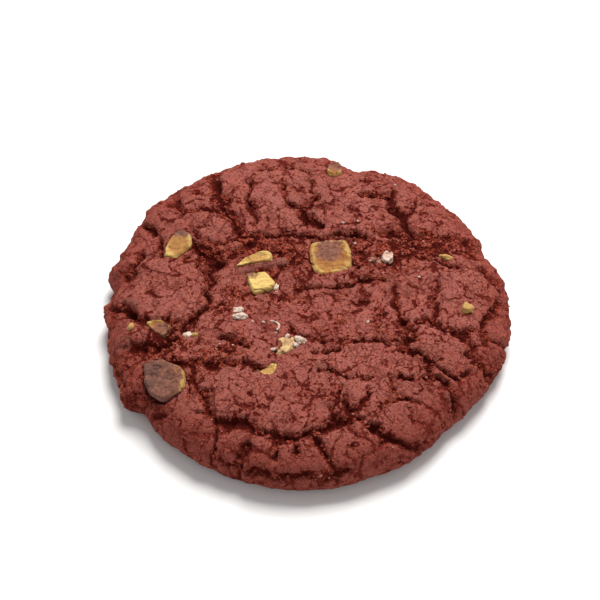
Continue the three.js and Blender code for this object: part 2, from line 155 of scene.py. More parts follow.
# Fissures between the plates: width, depth, and the points that each runs through
FISSURES = (
    # back left
    (3.3, 1.4, ((-22, 40), (-21.3, 33), (-20.8, 29.5), (-19.5, 26), (-18, 23), (-16.5, 19.5), (-15, 17))),
    (1.2, 1.4, ((-13.2, 35), (-13.8, 31), (-14, 28.5), (-12.6, 26), (-12, 23), (-12.2, 20))),
    (0.9, 0.9, ((-11, 38.8), (-7, 39), (-3, 39), (-1, 37.8), (0.5, 36))),
    (1.6, 1.6, ((-5, 32.5), (-4.8, 30), (-4, 27.5), (-2.5, 26.3), (-0.5, 25.3))),
    (1.4, 1.3, ((-0.5, 25.3), (0.8, 26), (2, 27.5), (3.2, 29.3))),
    (1.2, 1.2, ((1, 34.5), (1.3, 32), (2.5, 31))),
    (2.2, 1.8, ((-0.5, 25.5), (-0.8, 23), (1.5, 22), (3.2, 21))),
    (2.0, 1.6, ((-31.5, 33.5), (-28, 34.5), (-25, 35.5))),
    (1.6, 1.5, ((-31, 31), (-30.5, 28.5), (-29, 26))),
    (1.2, 1.2, ((-29.8, 22.5), (-28, 24.5), (-24.5, 25), (-21.5, 24.5))),
    (1.5, 1.6, ((-38.4, 23.5), (-36.2, 19.5), (-35.3, 17), (-35.3, 13.5), (-34.8, 11))),
    (1.0, 0.9, ((-26.5, 18), (-24.5, 16), (-22, 15.2), (-18.5, 15))),
    (0.7, 0.7, ((-25.5, 19.3), (-23.3, 19.8))),
    (3.0, 1.8, ((-26, 14.5), (-24.5, 12.5), (-22.5, 10.5), (-20.5, 9))),
    (1.8, 1.5, ((-18, 10.5), (-15, 12), (-12.5, 13.8), (-9.5, 14.5))),
    # back right
    (1.5, 1.0, ((-15.5, 17), (-8, 17), (-4, 18), (0, 17.2), (4, 17.3), (8, 18), (12, 17.5), (15, 16.5))),
    (2.0, 1.8, ((20, 30.5), (21.3, 28.8), (21.5, 26.5), (24, 24.6), (25, 21.5), (25.6, 18.5), (26.8, 15.3))),
    (0.9, 0.9, ((27.3, 30), (26.8, 27.2), (25, 25.3))),
    (2.2, 1.2, ((19, 17.8), (22, 19), (26, 17.3), (30, 18.2), (34, 17.6), (38, 17.2), (41, 18))),
    (1.6, 1.4, ((14, 31), (17, 30.8), (20, 30))),
    (1.2, 1.2, ((14, 37), (17, 36), (19.5, 36.5))),
    (1.4, 1.1, ((29.5, 12), (31, 10.5), (34, 9.3), (37.5, 8.8))),
    # left
    (2.0, 1.8, ((-20.8, 8.5), (-22.3, 5), (-23, 1.5), (-22.8, -2), (-24, -5), (-26.5, -7.8), (-28, -10))),
    (1.8, 1.6, ((-28, -10), (-27.8, -11.5), (-27.5, -12.5))),
    (2.2, 1.5, ((-43.5, 7), (-41.5, 8.5), (-39.5, 10.5), (-39.8, 12.5))),
    (1.8, 1.6, ((-45.5, -1.5), (-44, -2.5), (-41, -5.5), (-38.8, -7.8), (-36, -9),
                (-32.5, -8.3), (-29.5, -8.8))),
    (2.2, 1.5, ((-30, -19.5), (-26, -20.8), (-22, -21.3), (-18, -20.5), (-15, -21.3), (-12, -21.2))),
    (2.0, 0.9, ((-25.8, -22), (-25.6, -26), (-23.5, -29.5), (-22.5, -32.5), (-20.8, -35.5))),
    (0.8, 0.8, ((-25, -34), (-23.5, -33.8), (-22, -34))),
    (2.4, 1.4, ((-40.5, -14.5), (-37.5, -15.3), (-34.5, -15.2), (-32, -14.5))),
    # middle
    (1.2, 0.7, ((-1.5, 2.8), (2.5, 3), (6, 2.6), (9.5, 2), (12, 3.5), (15, 4), (17.5, 4.2))),
    (1.8, 1.2, ((-3.5, -10), (-2.5, -12), (-0.8, -13.3))),
    (1.0, 0.8, ((1, -13.5), (5, -14.3), (9.5, -14.8), (14, -14.2), (17, -15), (20.5, -16))),
    (1.0, 0.9, ((1, -17), (3.5, -17.6), (7.5, -17))),
    (1.6, 1.2, ((-19.5, -14), (-17.5, -14), (-15.5, -14.8))),
    (0.7, 0.5, ((3, -23.3), (7, -23.8), (9.5, -25), (13, -25.3), (16, -25.4))),
    # right
    (1.6, 0.8, ((20.3, 1.5), (21, -3), (22, -7), (22.9, -9))),
    (2.3, 1.4, ((22.9, -9), (23.5, -10.5), (25.3, -12.8))),
    (1.7, 1.5, ((24.8, -12.5), (23.3, -15.5), (23.8, -18), (26.5, -18))),
    (1.6, 1.5, ((26, -8.8), (29, -9.5), (32, -10.8), (35.5, -12.2), (38, -13.2), (38.8, -14.8))),
    (1.1, 1.0, ((36.3, -12), (39, -11), (43, -11), (47.5, -10.3))),
    (1.1, 1.1, ((31, 3), (30.8, 0), (29.8, -2.8), (30.3, -5), (28.8, -8))),
    (1.3, 1.2, ((45.3, 0.5), (43.8, -2.5), (43.2, -5), (41.3, -7.8), (40.8, -10.8))),
    (2.0, 1.6, ((42, 8.5), (43.3, 6), (45, 3.8))),
    (1.9, 1.7, ((26.5, -17.5), (28.5, -19.8), (29.2, -22.8), (30.5, -25.2), (33, -26.3),
                (34.6, -28.2), (35.5, -31))),
    (1.4, 1.3, ((29.3, -20), (32, -22), (34.8, -23.8), (37.5, -22.5))),
    (1.5, 1.3, ((38, -16), (40, -18.8), (43.5, -19.5))),
    # front
    (2.4, 1.4, ((-20.8, -35.5), (-18, -36.4), (-14.5, -36.6), (-12.5, -37.8), (-9.5, -39),
                (-5.5, -39.6), (-1, -39.6))),
    (2.2, 1.4, ((-1, -39.6), (2.5, -39), (5.5, -37.6), (8, -36.8), (10.5, -36.3),
                (13, -36.9), (15.5, -38.5))),
    (2.4, 1.6, ((15.5, -38.5), (18, -39.6), (22, -40), (26.5, -39.2))),
    (0.9, 0.8, ((-20.3, -36.5), (-20.6, -39.5), (-21, -42.5))),
    (1.9, 1.4, ((-13.5, -41), (-14.3, -43.5), (-15, -46.5))),
    (1.3, 1.1, ((-7.2, -40), (-6.6, -41.5), (-7.2, -43))),
    (1.4, 1.2, ((-2, -40.5), (-1.8, -43))),
    (1.6, 1.5, ((2, -41), (3.5, -42.5), (4.8, -45), (6.5, -46))),
    (1.2, 1.0, ((9, -31), (9.3, -33.5), (9.8, -36))),
    (1.3, 1.1, ((14.6, -28.5), (13.6, -31.5), (11.8, -33.8), (10, -34.5))),
    (0.8, 0.8, ((8.3, -27.5), (7.3, -30.5), (6.2, -33.5), (6.4, -36.5))),
    (1.6, 1.3, ((20, -27), (21, -29.3))),
    (1.3, 1.2, ((21.8, -26.3), (24, -25.8), (26.5, -25.2))),
    (0.7, 0.7, ((20, -30), (17, -32), (17, -34))),
    (0.7, 0.7, ((20, -31.5), (24, -31), (27, -31.5))),
    (0.7, 0.6, ((24, -33), (24, -35))),
    (1.5, 1.2, ((-19, -42.8), (-13, -44.9), (-7.5, -46.1), (-2, -46.7), (3.5, -46.6), (9, -45.8))),
)

# Strips of crust that stand up beside a chocolate piece: width, height, points
RIDGES = ((2.3, 0.6, ((-15.6, 6.2), (-12.8, 7.0), (-10.2, 7.6), (-7.6, 8.1), (-5.2, 8.7))),)

# Smaller cracks between cells: the cells' size, how far their edges bend and over what length, how far the
# cracks open (mean, how much that varies and over what length, how much more at the right, most), how deep
# they are, how much narrower the shader shows them, and the first of their noise layers
FIELDS = "cell bend bend_length mean varies length at_right most deep spare layer"
SmallCracks = namedtuple("SmallCracks", FIELDS)
SMALL_CRACKS = (
    SmallCracks(7.0, 0.9, 2.2, 0.02, 0.5, 4.4, 0.0, 0.12, 0.36, 0.05, 61),
    SmallCracks(3.2, 0.5, 1.3, -0.12, 0.36, 3.4, 0.1, 0.08, 0.14, 0.1, 71),
)

# Height of the plates over the section, and how they round off towards the cracks
PLATE_BASE = 0.5
PLATE_RISE = 0.42
PLATE_ROUNDING = 0.5
# Waves and lumps of the crust, and how far lines wander, turn jagged and get ragged
WAVE_LENGTH = 9.0
WAVE_HEIGHT = 0.36
LUMP_LENGTH = 2.6
LUMP_HEIGHT = 0.07
WANDER_LENGTH = 3.6
WANDER = 0.8
JAGGED_LENGTH = 1.5
JAGGED = 0.5
RAGGED_LENGTH = 1.0
SKIN_LENGTH = 0.9
SKIN_HEIGHT = 0.06

# Lumps of the side: height, length and noise layer. They grow from this run on, and the calm shoulder at the
# front lacks this share of them up to another run
SIDE_LUMPS = ((0.42, 2.4, 95), (0.28, 1.1, 97))
SIDE_FROM = 40
CALM_SHARE = 0.75
CALM_UP_TO = 54

# How far fissures are open: the mean, and how much it varies over a longer and a shorter length
OPENING_MEAN = 0.7
OPENING_VARIES = 0.8
OPENING_LENGTH = 3.0
OPENING_FLUTTERS = 0.4
OPENING_DETAIL = 1.3

# The torn margin of a fissure: its least share of the half width, what opening adds to that, how far out it
# lies, how ragged it is, and the share of the depth by which it drops
MARGIN_LEAST = 0.75
MARGIN_OPENS = 0.3
MARGIN_OUT = 0.1
MARGIN_RAGGED = 0.3
MARGIN_DROP = 0.32
# The crack in it: its half width as a share of the fissure's width and in mm, how much narrower it is all
# along, how ragged it is, and the share of the depth by which it drops
CRACK_SHARE = 0.24
CRACK_MORE = 0.12
CRACK_LESS = 0.12
CRACK_RAGGED = 0.16
CRACK_DROP = 0.42

# Where crumb lies open: what hollows, chance and the rim add, what ridges take off, and what has to be
# passed
CRUMB_IN_HOLLOWS = 0.8
CRUMB_BY_CHANCE = 0.6
CRUMB_AT_RIM = 0.45
CRUMB_OFF_RIDGES = 1.5
CRUMB_FROM = 0.68
CRUMBLY_LENGTH = 4.2
# Flakes came off along the edges of clumps: how far in, and how much that varies over a length
FLAKE_REACH = 0.34
FLAKE_VARIES = 0.45
FLAKE_LENGTH = 4.6

# Clumps and grains of the open crumb: sizes and heights, how far clumps reach from their middles, the gap
# between them, how deep open crumb and its pits lie, and the size of the pits
CLUMP_SIZE = 2.9
CLUMP_HEIGHT = 0.5
CLUMP_REACH = 1.9
CLUMP_GAP = 0.9
COARSE_GRAIN = 1.25
COARSE_HEIGHT = 0.22
FINE_GRAIN = 0.8
FINE_HEIGHT = 0.18
CRUMB_SINK = 0.7
PIT_SINK = 0.5
PIT_LENGTH = 1.5

# Distances to lines are worked out up to this far, and slopes of the section over this step
FAR = 9.0
SLOPE_STEP = 0.05

# Rings of the crust's mesh, and the pores and waves of its underside
TOP_RINGS = 165
BASE_RINGS = 55
PORE_SIZE = 2.6
PORE_DEPTH = 0.35
PORES_COME = 6.0
BASE_WAVE = 0.12
BASE_WAVE_LENGTH = 3.0

# Browning of the underside comes from this share of the section on, and painted shade on the side from this
# run on
BROWNED_FROM = 0.965
SIDE_SHADE_FROM = 38

# The top lies above this height. Under a chocolate piece the crust gives way by this much more than the piece
# needs, and is looked for this far off
TOP_FROM = 5.0
SEAT_DEPTH = 0.9
SEAT_REACH = 8.0

# Crumbs by piece: seed, smallest and largest radius, and how far into the open crumb they lie at full density
CRUMB_KINDS = {
    "coarse_crumbs": (11, 0.3, 0.52, 1.0),
    "fine_crumbs": (12, 0.17, 0.36, 0.4),
}
# They end at this share of the section, keep this far from cracks, lie where no more chocolate than this is
# buried, and may reach this far into the box of a chocolate piece
CRUMBS_END = 0.985
CRACK_CLEARANCE = 0.05
MOST_BURIED = 0.3
BOX_OVERLAP = 0.3

# Finishes of the chocolate: names of the colours of light, dark and palest parts
FINISHES = {
    "golden_chocolate": ("golden_light", "golden_dark", "golden_pale"),
    "cream_chocolate": ("cream_light", "cream_dark", "cream_light"),
    "white_chocolate": ("white_light", "white_dark", "white_pale"),
}
CHOCOLATE_STEP = 0.17

# Noise on the chocolate, each as height, length and layer: how the film's edge wavers, chips of the surface,
# and the rougher surface of the white and cream pieces
FILM_WAVERS = ((0.35, 1.1, 5), (0.15, 0.5, 6))
CHIPS = ((0.2, 1.5, 7), (0.1, 0.7, 9))
BROKEN = ((0.42, 0.9, 19), (0.22, 0.45, 23))
# Creases, drawn out along x: their length, and how deep they are. The film lies a little deeper too
CREASE_LENGTH = 1.4
CREASE_STRETCH = np.array([0.45, 1.0, 1.0])
CREASE_DEPTH = 0.22
FILM_DEPTH = 0.1

# Chocolate pieces by node: where a film of crust covers each (place, reach), how far it does, how grey it is,
# how pale the chocolate is, and the finish
CHUNKS = {
    "chunk_square": ((5.8, 13.6), (3.0, 3.1), 1.2, 0.25, -0.1, "golden_chocolate"),
    "chunk_left": ((-29.4, 19.4), (3.0, 3.0), 1.0, 0.6, 0.12, "golden_chocolate"),
    "chunk_arch": ((-13.8, 6.6), (3.0, 0.9), 0.8, 0.1, 0.3, "golden_chocolate"),
    "chunk_bright": ((-13.3, 5.3), (2.0, 1.7), 0.8, 0.0, 1.0, "golden_chocolate"),
    "chunk_large": ((-34.8, -24.8), (5.9, 8.6), 1.4, 0.8, 0.0, "golden_chocolate"),
    "chunk_tucked": ((-32.9, -10.6), (2.6, 2.6), 0.85, 0.15, 0.0, "golden_chocolate"),
    "chunk_back": ((6.6, 41.6), (4.2, 3.5), 1.1, 0.2, 0.0, "golden_chocolate"),
    "chunk_white": ((17.0, 8.6), (1.2, 1.0), 0.0, 0.0, 0.0, "white_chocolate"),
    "chunk_crumbled": ((-5.6, -15.8), (2.4, 2.6), 0.42, 0.0, 1.0, "cream_chocolate"),
    "chunk_sliver": ((-12.2, -23.0), (1.8, 1.6), 0.6, 0.1, 0.3, "golden_chocolate"),
}
# Pieces that the film wraps, down their sides as well
WRAPPED = ("chunk_large",)

# Small bits of chocolate: place, length, width and height, turn in degrees, how deep each sits, and how much
# of a crust film covers it
GOLDEN_BITS = (
    ((37.1, -4.9), (2.9, 2.3, 1.8), 10, 0.35, 0.1),
    ((34.7, 11.5), (2.9, 1.3, 1.4), -8, 0.35, 0.0),
    ((-41.0, -9.1), (2.0, 1.6, 1.3), 60, 0.45, 0.35),
    ((-25.6, -12.7), (1.5, 0.9, 0.8), 10, 0.35, 0.35),
)
WHITE_BITS = (
    ((-15.6, -5.6), (2.1, 1.7, 1.5), 0, 0.4, 0.2),
    ((-15.3, -7.7), (2.9, 1.5, 1.5), 5, 0.4, 0.0),
    ((-27.5, -12.3), (2.4, 1.3, 1.3), 15, 0.4, 0.1),
    ((-7.0, 2.3), (2.4, 1.1, 1.2), 85, 0.3, 0.1),
    ((-1.7, -14.5), (2.2, 1.7, 1.4), 20, 0.35, 0.25),
    ((-2.3, -16.0), (1.5, 1.2, 1.1), -30, 0.35, 0.2),
    ((-4.3, -13.2), (1.2, 0.8, 0.9), 60, 0.35, 0.2),
    ((-7.3, -17.0), (1.4, 0.9, 0.8), 10, 0.45, 0.6),
    ((-0.3, -13.8), (1.4, 1.0, 0.9), 0, 0.35, 0.35),
    ((17.4, 10.2), (1.7, 1.1, 0.9), 50, 0.45, 0.75),
    ((16.2, 9.4), (1.6, 1.0, 0.8), 20, 0.5, 0.9),
    ((17.6, 8.9), (1.4, 0.9, 0.8), -40, 0.5, 0.65),
    ((-7.7, -8.7), (1.2, 0.5, 0.6), -15, 0.4, 0.5),
    ((-6.7, -9.2), (1.1, 0.5, 0.6), -50, 0.4, 0.1),
    ((-6.3, -10.1), (1.2, 0.5, 0.6), -85, 0.4, 0.0),
    ((-6.5, -11.0), (0.9, 0.5, 0.6), -115, 0.4, 0.0),
    ((-7.0, -12.0), (0.7, 0.5, 0.5), 0, 0.4, 0.1),
    ((-12.7, -9.1), (0.7, 0.5, 0.5), 0, 0.35, 0.1),
    ((-10.1, -9.0), (0.9, 0.6, 0.7), 0, 0.35, 0.1),
    ((12.0, 14.8), (0.7, 0.5, 0.6), 0, 0.3, 0.0),
    ((26.5, 3.8), (0.7, 0.5, 0.5), 0, 0.3, 0.1),
    ((14.9, -9.2), (0.8, 0.6, 0.6), 0, 0.3, 0.1),
    ((9.1, 21.0), (1.0, 0.5, 0.5), 20, 0.35, 0.35),
    ((12.8, 21.3), (0.8, 0.4, 0.5), -20, 0.35, 0.3),
    ((-20.5, -16.0), (0.5, 0.4, 0.4), 0, 0.3, 0.2),
    ((-17.0, -16.0), (0.5, 0.4, 0.4), 0, 0.3, 0.2),
    ((-21.5, -17.0), (0.5, 0.4, 0.4), 0, 0.3, 0.2),
    ((22.0, 34.5), (0.6, 0.4, 0.4), 0, 0.3, 0.2),
)
# Small bits by piece: bits, finish, most lumps in a bit, how pale they are and how rugged
BIT_KINDS = {
    "golden_bits": (GOLDEN_BITS, "golden_chocolate", 1, 0.45, 0.3),
    "white_bits": (WHITE_BITS, "white_chocolate", 7, 0.7, 0.5),
}
BITS_SEED = 21
# Bits up to this long have two lumps at most, and lumps stuck together are boxy. A lump's half sizes are this
# share of the bit's sizes, and its lumpy surface is noise, given as height, length and layer
SHORT_BIT = 1.0
BOXY_POWER = 2.6
LUMP_SHARE = 0.56
LUMPY = ((1.0, 0.7, 13), (0.6, 0.3, 15))

# Chocolate just under the crust: place, reach, and how far it lifts the crust
BURIED = (
    ((-40.7, -2.0), (1.1, 1.0), 0.6),
    ((-42.0, -12.8), (2.6, 2.2), 0.8),
    ((33.5, -28.6), (1.9, 1.4), 0.7),
    ((4.0, -22.0), (1.7, 1.2), 0.2),
)
# Deep pits: place, reach, depth
PITS = (
    ((-41.7, -4.8), (1.5, 1.2), 2.0),
    ((-21.5, 8.3), (1.6, 1.0), 1.4),
    ((-20.9, 32.8), (1.1, 1.9), 1.2),
    ((-31.8, 28.4), (0.9, 1.2), 1.0),
    ((-34.0, -31.6), (3.2, 0.8), 1.3),
    ((13.0, -3.4), (1.5, 0.9), 0.8),
    ((25.0, -14.0), (1.4, 1.0), 1.0),
    ((41.2, -13.0), (1.0, 0.8), 0.9),
)

# The photo's camera: the frame's middle is this many pixels to the right of the cookie's middle and above it
CAMERA_ELEVATION = math.radians(52)
CAMERA_DISTANCE = 450.0
CAMERA_LENS = 114.3
PHOTO_PIXELS_PER_MM = 4.233
FRAME_RIGHT_PX = -5.75
FRAME_UP_PX = 8.19
MIDDLE_HEIGHT = 7.25

# Half the floor's side in metres
FLOOR_HALF = 1.5


# ---- numbers over the plane

# Large numbers that scatter the lattice's values, the shift from one plane of noise in space to the next, how
# far the points of cells stray from the middle of their squares, and the reach of a grain's dome
SCATTER = (127.1, 311.7, 74.7, 43758.5453)
PLANE_SHIFT = (17.3, -9.1)
POINT_PLAY = 0.48
DOME_REACH = 0.62


def smooth(t):
    """From 0 to 1 with a soft start and end."""
    t = np.clip(t, 0.0, 1.0)
    return t * t * (3.0 - 2.0 * t)


def within(distance, start, width):
    """From 0 to 1 as a distance falls below start, over a width."""
    return smooth((start - distance) / width)


def lattice(i, j, layer):
    """A value from -1 to 1 for each whole-numbered point of the plane. Every layer has its own values."""
    by_i, by_j, by_layer, gain = SCATTER
    s = np.sin(i * by_i + j * by_j + layer * by_layer) * gain
    return 2.0 * (s - np.floor(s)) - 1.0


def noise(x, y, layer):
    """Smooth noise from -1 to 1."""
    i, j = np.floor(x), np.floor(y)
    u, v = smooth(x - i), smooth(y - j)
    near = lattice(i, j, layer) * (1 - u) + lattice(i + 1, j, layer) * u
    far = lattice(i, j + 1, layer) * (1 - u) + lattice(i + 1, j + 1, layer) * u
    return near * (1 - v) + far * v


def wave(x, y, length, layer):
    """Smooth noise from -1 to 1, of one length."""
    return noise(x / length, y / length, layer)


def rough(x, y, length, layer, octaves=3):
    """Noise of several lengths, the longest of them as given."""
    total = np.zeros_like(x)
    for octave in range(octaves):
        share = 2.0**octave
        total += wave(x, y, length / share, layer + octave) / share
    return total


def noise_in_space(points, length, layer):
    """Smooth noise from -1 to 1 at points in space."""
    x, y, z = (points / length).T
    k = np.floor(z)
    w = smooth(z - k)
    by_x, by_y = PLANE_SHIFT
    lower, upper = (noise(x + by_x * plane, y + by_y * plane, layer) for plane in (k, k + 1))
    return lower * (1 - w) + upper * w


def waves_in_space(points, kinds):
    """Sum of noise at points in space, each given as height, length and layer."""
    return sum(height * noise_in_space(points, length, layer) for height, length, layer in kinds)


def cells(x, y, size, layer):
    """Distance to the nearest of many scattered points, and how much further the next one is."""
    i, j = np.floor(x / size), np.floor(y / size)
    nearest = np.full_like(x, np.inf)
    second = np.full_like(x, np.inf)
    for di in (-1, 0, 1):
        for dj in (-1, 0, 1):
            px = (i + di + 0.5 + POINT_PLAY * lattice(i + di, j + dj, layer)) * size
            py = (j + dj + 0.5 + POINT_PLAY * lattice(i + di, j + dj, layer + 1)) * size
            distance = np.hypot(x - px, y - py)
            second = np.minimum(second, np.maximum(nearest, distance))
            nearest = np.minimum(nearest, distance)
    return nearest, second - nearest


def domes(x, y, size, layer):
    """Round grains side by side, 0 between them and 1 at their tops."""
    nearest, _ = cells(x, y, size, layer)
    return np.clip(1.0 - (nearest / (DOME_REACH * size)) ** 2, 0.0, 1.0)


def patch(x, y, place, reach):
    """A soft round patch, 1 at its place and fading over its reach."""
    return np.exp(-(((x - place[0]) / reach[0]) ** 2) - ((y - place[1]) / reach[1]) ** 2)


def spread(x, y, places):
    """Sum of soft round patches, each given as place, reach and strength."""
    return sum(strength * patch(x, y, place, reach) for place, reach, strength in places)


# ---- section of the cookie


def make_section(steps=4000):
    """Run along the section, and radius and height there, from the top's middle to the base's edge."""
    out = np.linspace(0.0, 1.0, steps)
    top = np.stack([SHOULDER_START * out, CREST_HEIGHT - MIDDLE_SINK * (1 - out**2) ** 2])
    angle = out[1:] * math.pi / 2
    across, up = WIDEST_RADIUS - SHOULDER_START, CREST_HEIGHT - WIDEST_HEIGHT
    shoulder = np.stack(
        [
            SHOULDER_START + across * np.sin(angle) ** (2 / SHOULDER_POWER),
            WIDEST_HEIGHT + up * np.cos(angle) ** (2 / SHOULDER_POWER),
        ]
    )
    side = np.stack(
        [
            BASE_RADIUS + (WIDEST_RADIUS - BASE_RADIUS) * np.cos(angle),
            WIDEST_HEIGHT * (1 - np.sin(angle)),
        ]
    )
    radius, height = np.concatenate([top, shoulder, side], axis=1)
    run = np.concatenate([[0.0], np.cumsum(np.hypot(np.diff(radius), np.diff(height)))])
    return run, radius, height


RUN, RADIUS, HEIGHT = make_section()
SECTION_LENGTH = RUN[-1]
WIDEST_RUN = RUN[int(np.argmax(RADIUS))]


def laid_out(x, y):
    """Plan places laid out flat, so that the distance from the middle is the run along the section."""
    radius = np.hypot(x, y)
    upper = RUN <= WIDEST_RUN
    run = np.interp(radius, RADIUS[upper], RUN[upper]) + np.maximum(0.0, radius - WIDEST_RADIUS)
    share = run / np.maximum(radius, 1e-9)
    return x * share, y * share


def spline(points, steps=5):
    """A smooth line through the plan points, laid out flat."""
    p = np.array(points, float)
    p = np.stack(laid_out(p[:, 0], p[:, 1]), axis=1)
    p = np.concatenate([2 * p[:1] - p[1:2], p, 2 * p[-1:] - p[-2:-1]])
    t = np.arange(steps)[:, None] / steps
    spans = []
    for a, b, c, d in zip(p[:-3], p[1:-2], p[2:-1], p[3:]):
        bend = t**2 * (a - 2.5 * b + 2 * c - 0.5 * d) + t**3 * (1.5 * (b - c) + 0.5 * (d - a))
        spans.append(b + 0.5 * t * (c - a) + bend)
    return np.concatenate([*spans, p[-2:-1]])


def distance_to(x, y, line):
    """Distance to a line where it is less than FAR, else FAR."""
    result = np.full_like(x, FAR)
    (left, low), (right, high) = line.min(axis=0) - FAR, line.max(axis=0) + FAR
    near = np.flatnonzero((x > left) & (x < right) & (y > low) & (y < high))
    px, py = x[near], y[near]
    for (ax, ay), (bx, by) in zip(line[:-1], line[1:]):
        dx, dy = bx - ax, by - ay
        share = np.clip(((px - ax) * dx + (py - ay) * dy) / (dx * dx + dy * dy), 0.0, 1.0)
        distance = np.hypot(px - ax - share * dx, py - ay - share * dy)
        result[near] = np.minimum(result[near], distance)
    return result


def patch_on_plan(x, y, place, reach):
    """A soft round patch about a plan place, at places laid out flat."""
    return patch(x, y, laid_out(*np.array(place, float)), reach)


# ---- relief of the crust


def ridges(x, y):
    """Height of the strips of crust that stand up."""
    height = np.zeros_like(x)
    for wide, high, path in RIDGES:
        away = distance_to(x, y, spline(path)) - wide / 2
        height = np.maximum(height, high * within(away, 0.4, 1.0))
    return height


def fissures(x, y, opening, ragged):
    """Distance to the torn margin of a fissure and to the narrow crack in it, and the drop of both."""
    to_margin = np.full_like(x, FAR)
    to_crack = np.full_like(x, FAR)
    drop = np.zeros_like(x)
    for wide, deep, path in FISSURES:
        distance = distance_to(x, y, spline(path))
        half = 0.5 * wide * (MARGIN_LEAST + MARGIN_OPENS * opening)
        from_margin = distance - half - MARGIN_OUT - MARGIN_RAGGED * ragged
        half = (CRACK_SHARE * wide + CRACK_MORE) * opening
        from_crack = distance - half + CRACK_LESS - CRACK_RAGGED * ragged
        to_margin = np.minimum(to_margin, from_margin)
        to_crack = np.minimum(to_crack, from_crack)
        shares = MARGIN_DROP * within(from_margin, 0.2, 0.45) + CRACK_DROP * within(from_crack, 0.15, 0.4)
        drop = np.maximum(drop, deep * shares)
    return to_margin, to_crack, drop


def from_small_cracks(x, y, jagged_x, jagged_y, ragged, kind):
    """Distance to smaller cracks of a kind, which run between cells. Only some of them opened."""
    bent_x = jagged_x + kind.bend * wave(x, y, kind.bend_length, kind.layer)
    bent_y = jagged_y + kind.bend * wave(x, y, kind.bend_length, kind.layer + 1)
    _, gap = cells(bent_x, bent_y, kind.cell, kind.layer + 2)
    right = smooth((x - y - 15) / 40)
    opened = kind.mean + kind.varies * rough(x, y, kind.length, kind.layer + 4) + kind.at_right * right
    return gap / 2 - np.minimum(opened, kind.most) - 0.08 * ragged


def open_crumb(x, y, nearest, between):
    """Height of clumps and grains, pits from 0 to 1, and the distance to gaps between clumps and to pits."""
    clumps = (np.clip(1 - (nearest / CLUMP_REACH) ** 2, 0, 1) + smooth(between / CLUMP_GAP)) / 2
    grains = CLUMP_HEIGHT * clumps
    grains += COARSE_HEIGHT * domes(x, y, COARSE_GRAIN, 83) + FINE_HEIGHT * domes(x, y, FINE_GRAIN, 85)
    pits = smooth((rough(x, y, PIT_LENGTH, 87, 2) - 0.3) / 0.35)
    from_gap = between / 2 + 0.4 * wave(x, y, 2.5, 88) - 0.12
    return grains, pits, np.minimum(from_gap, 0.5 - 0.7 * pits)


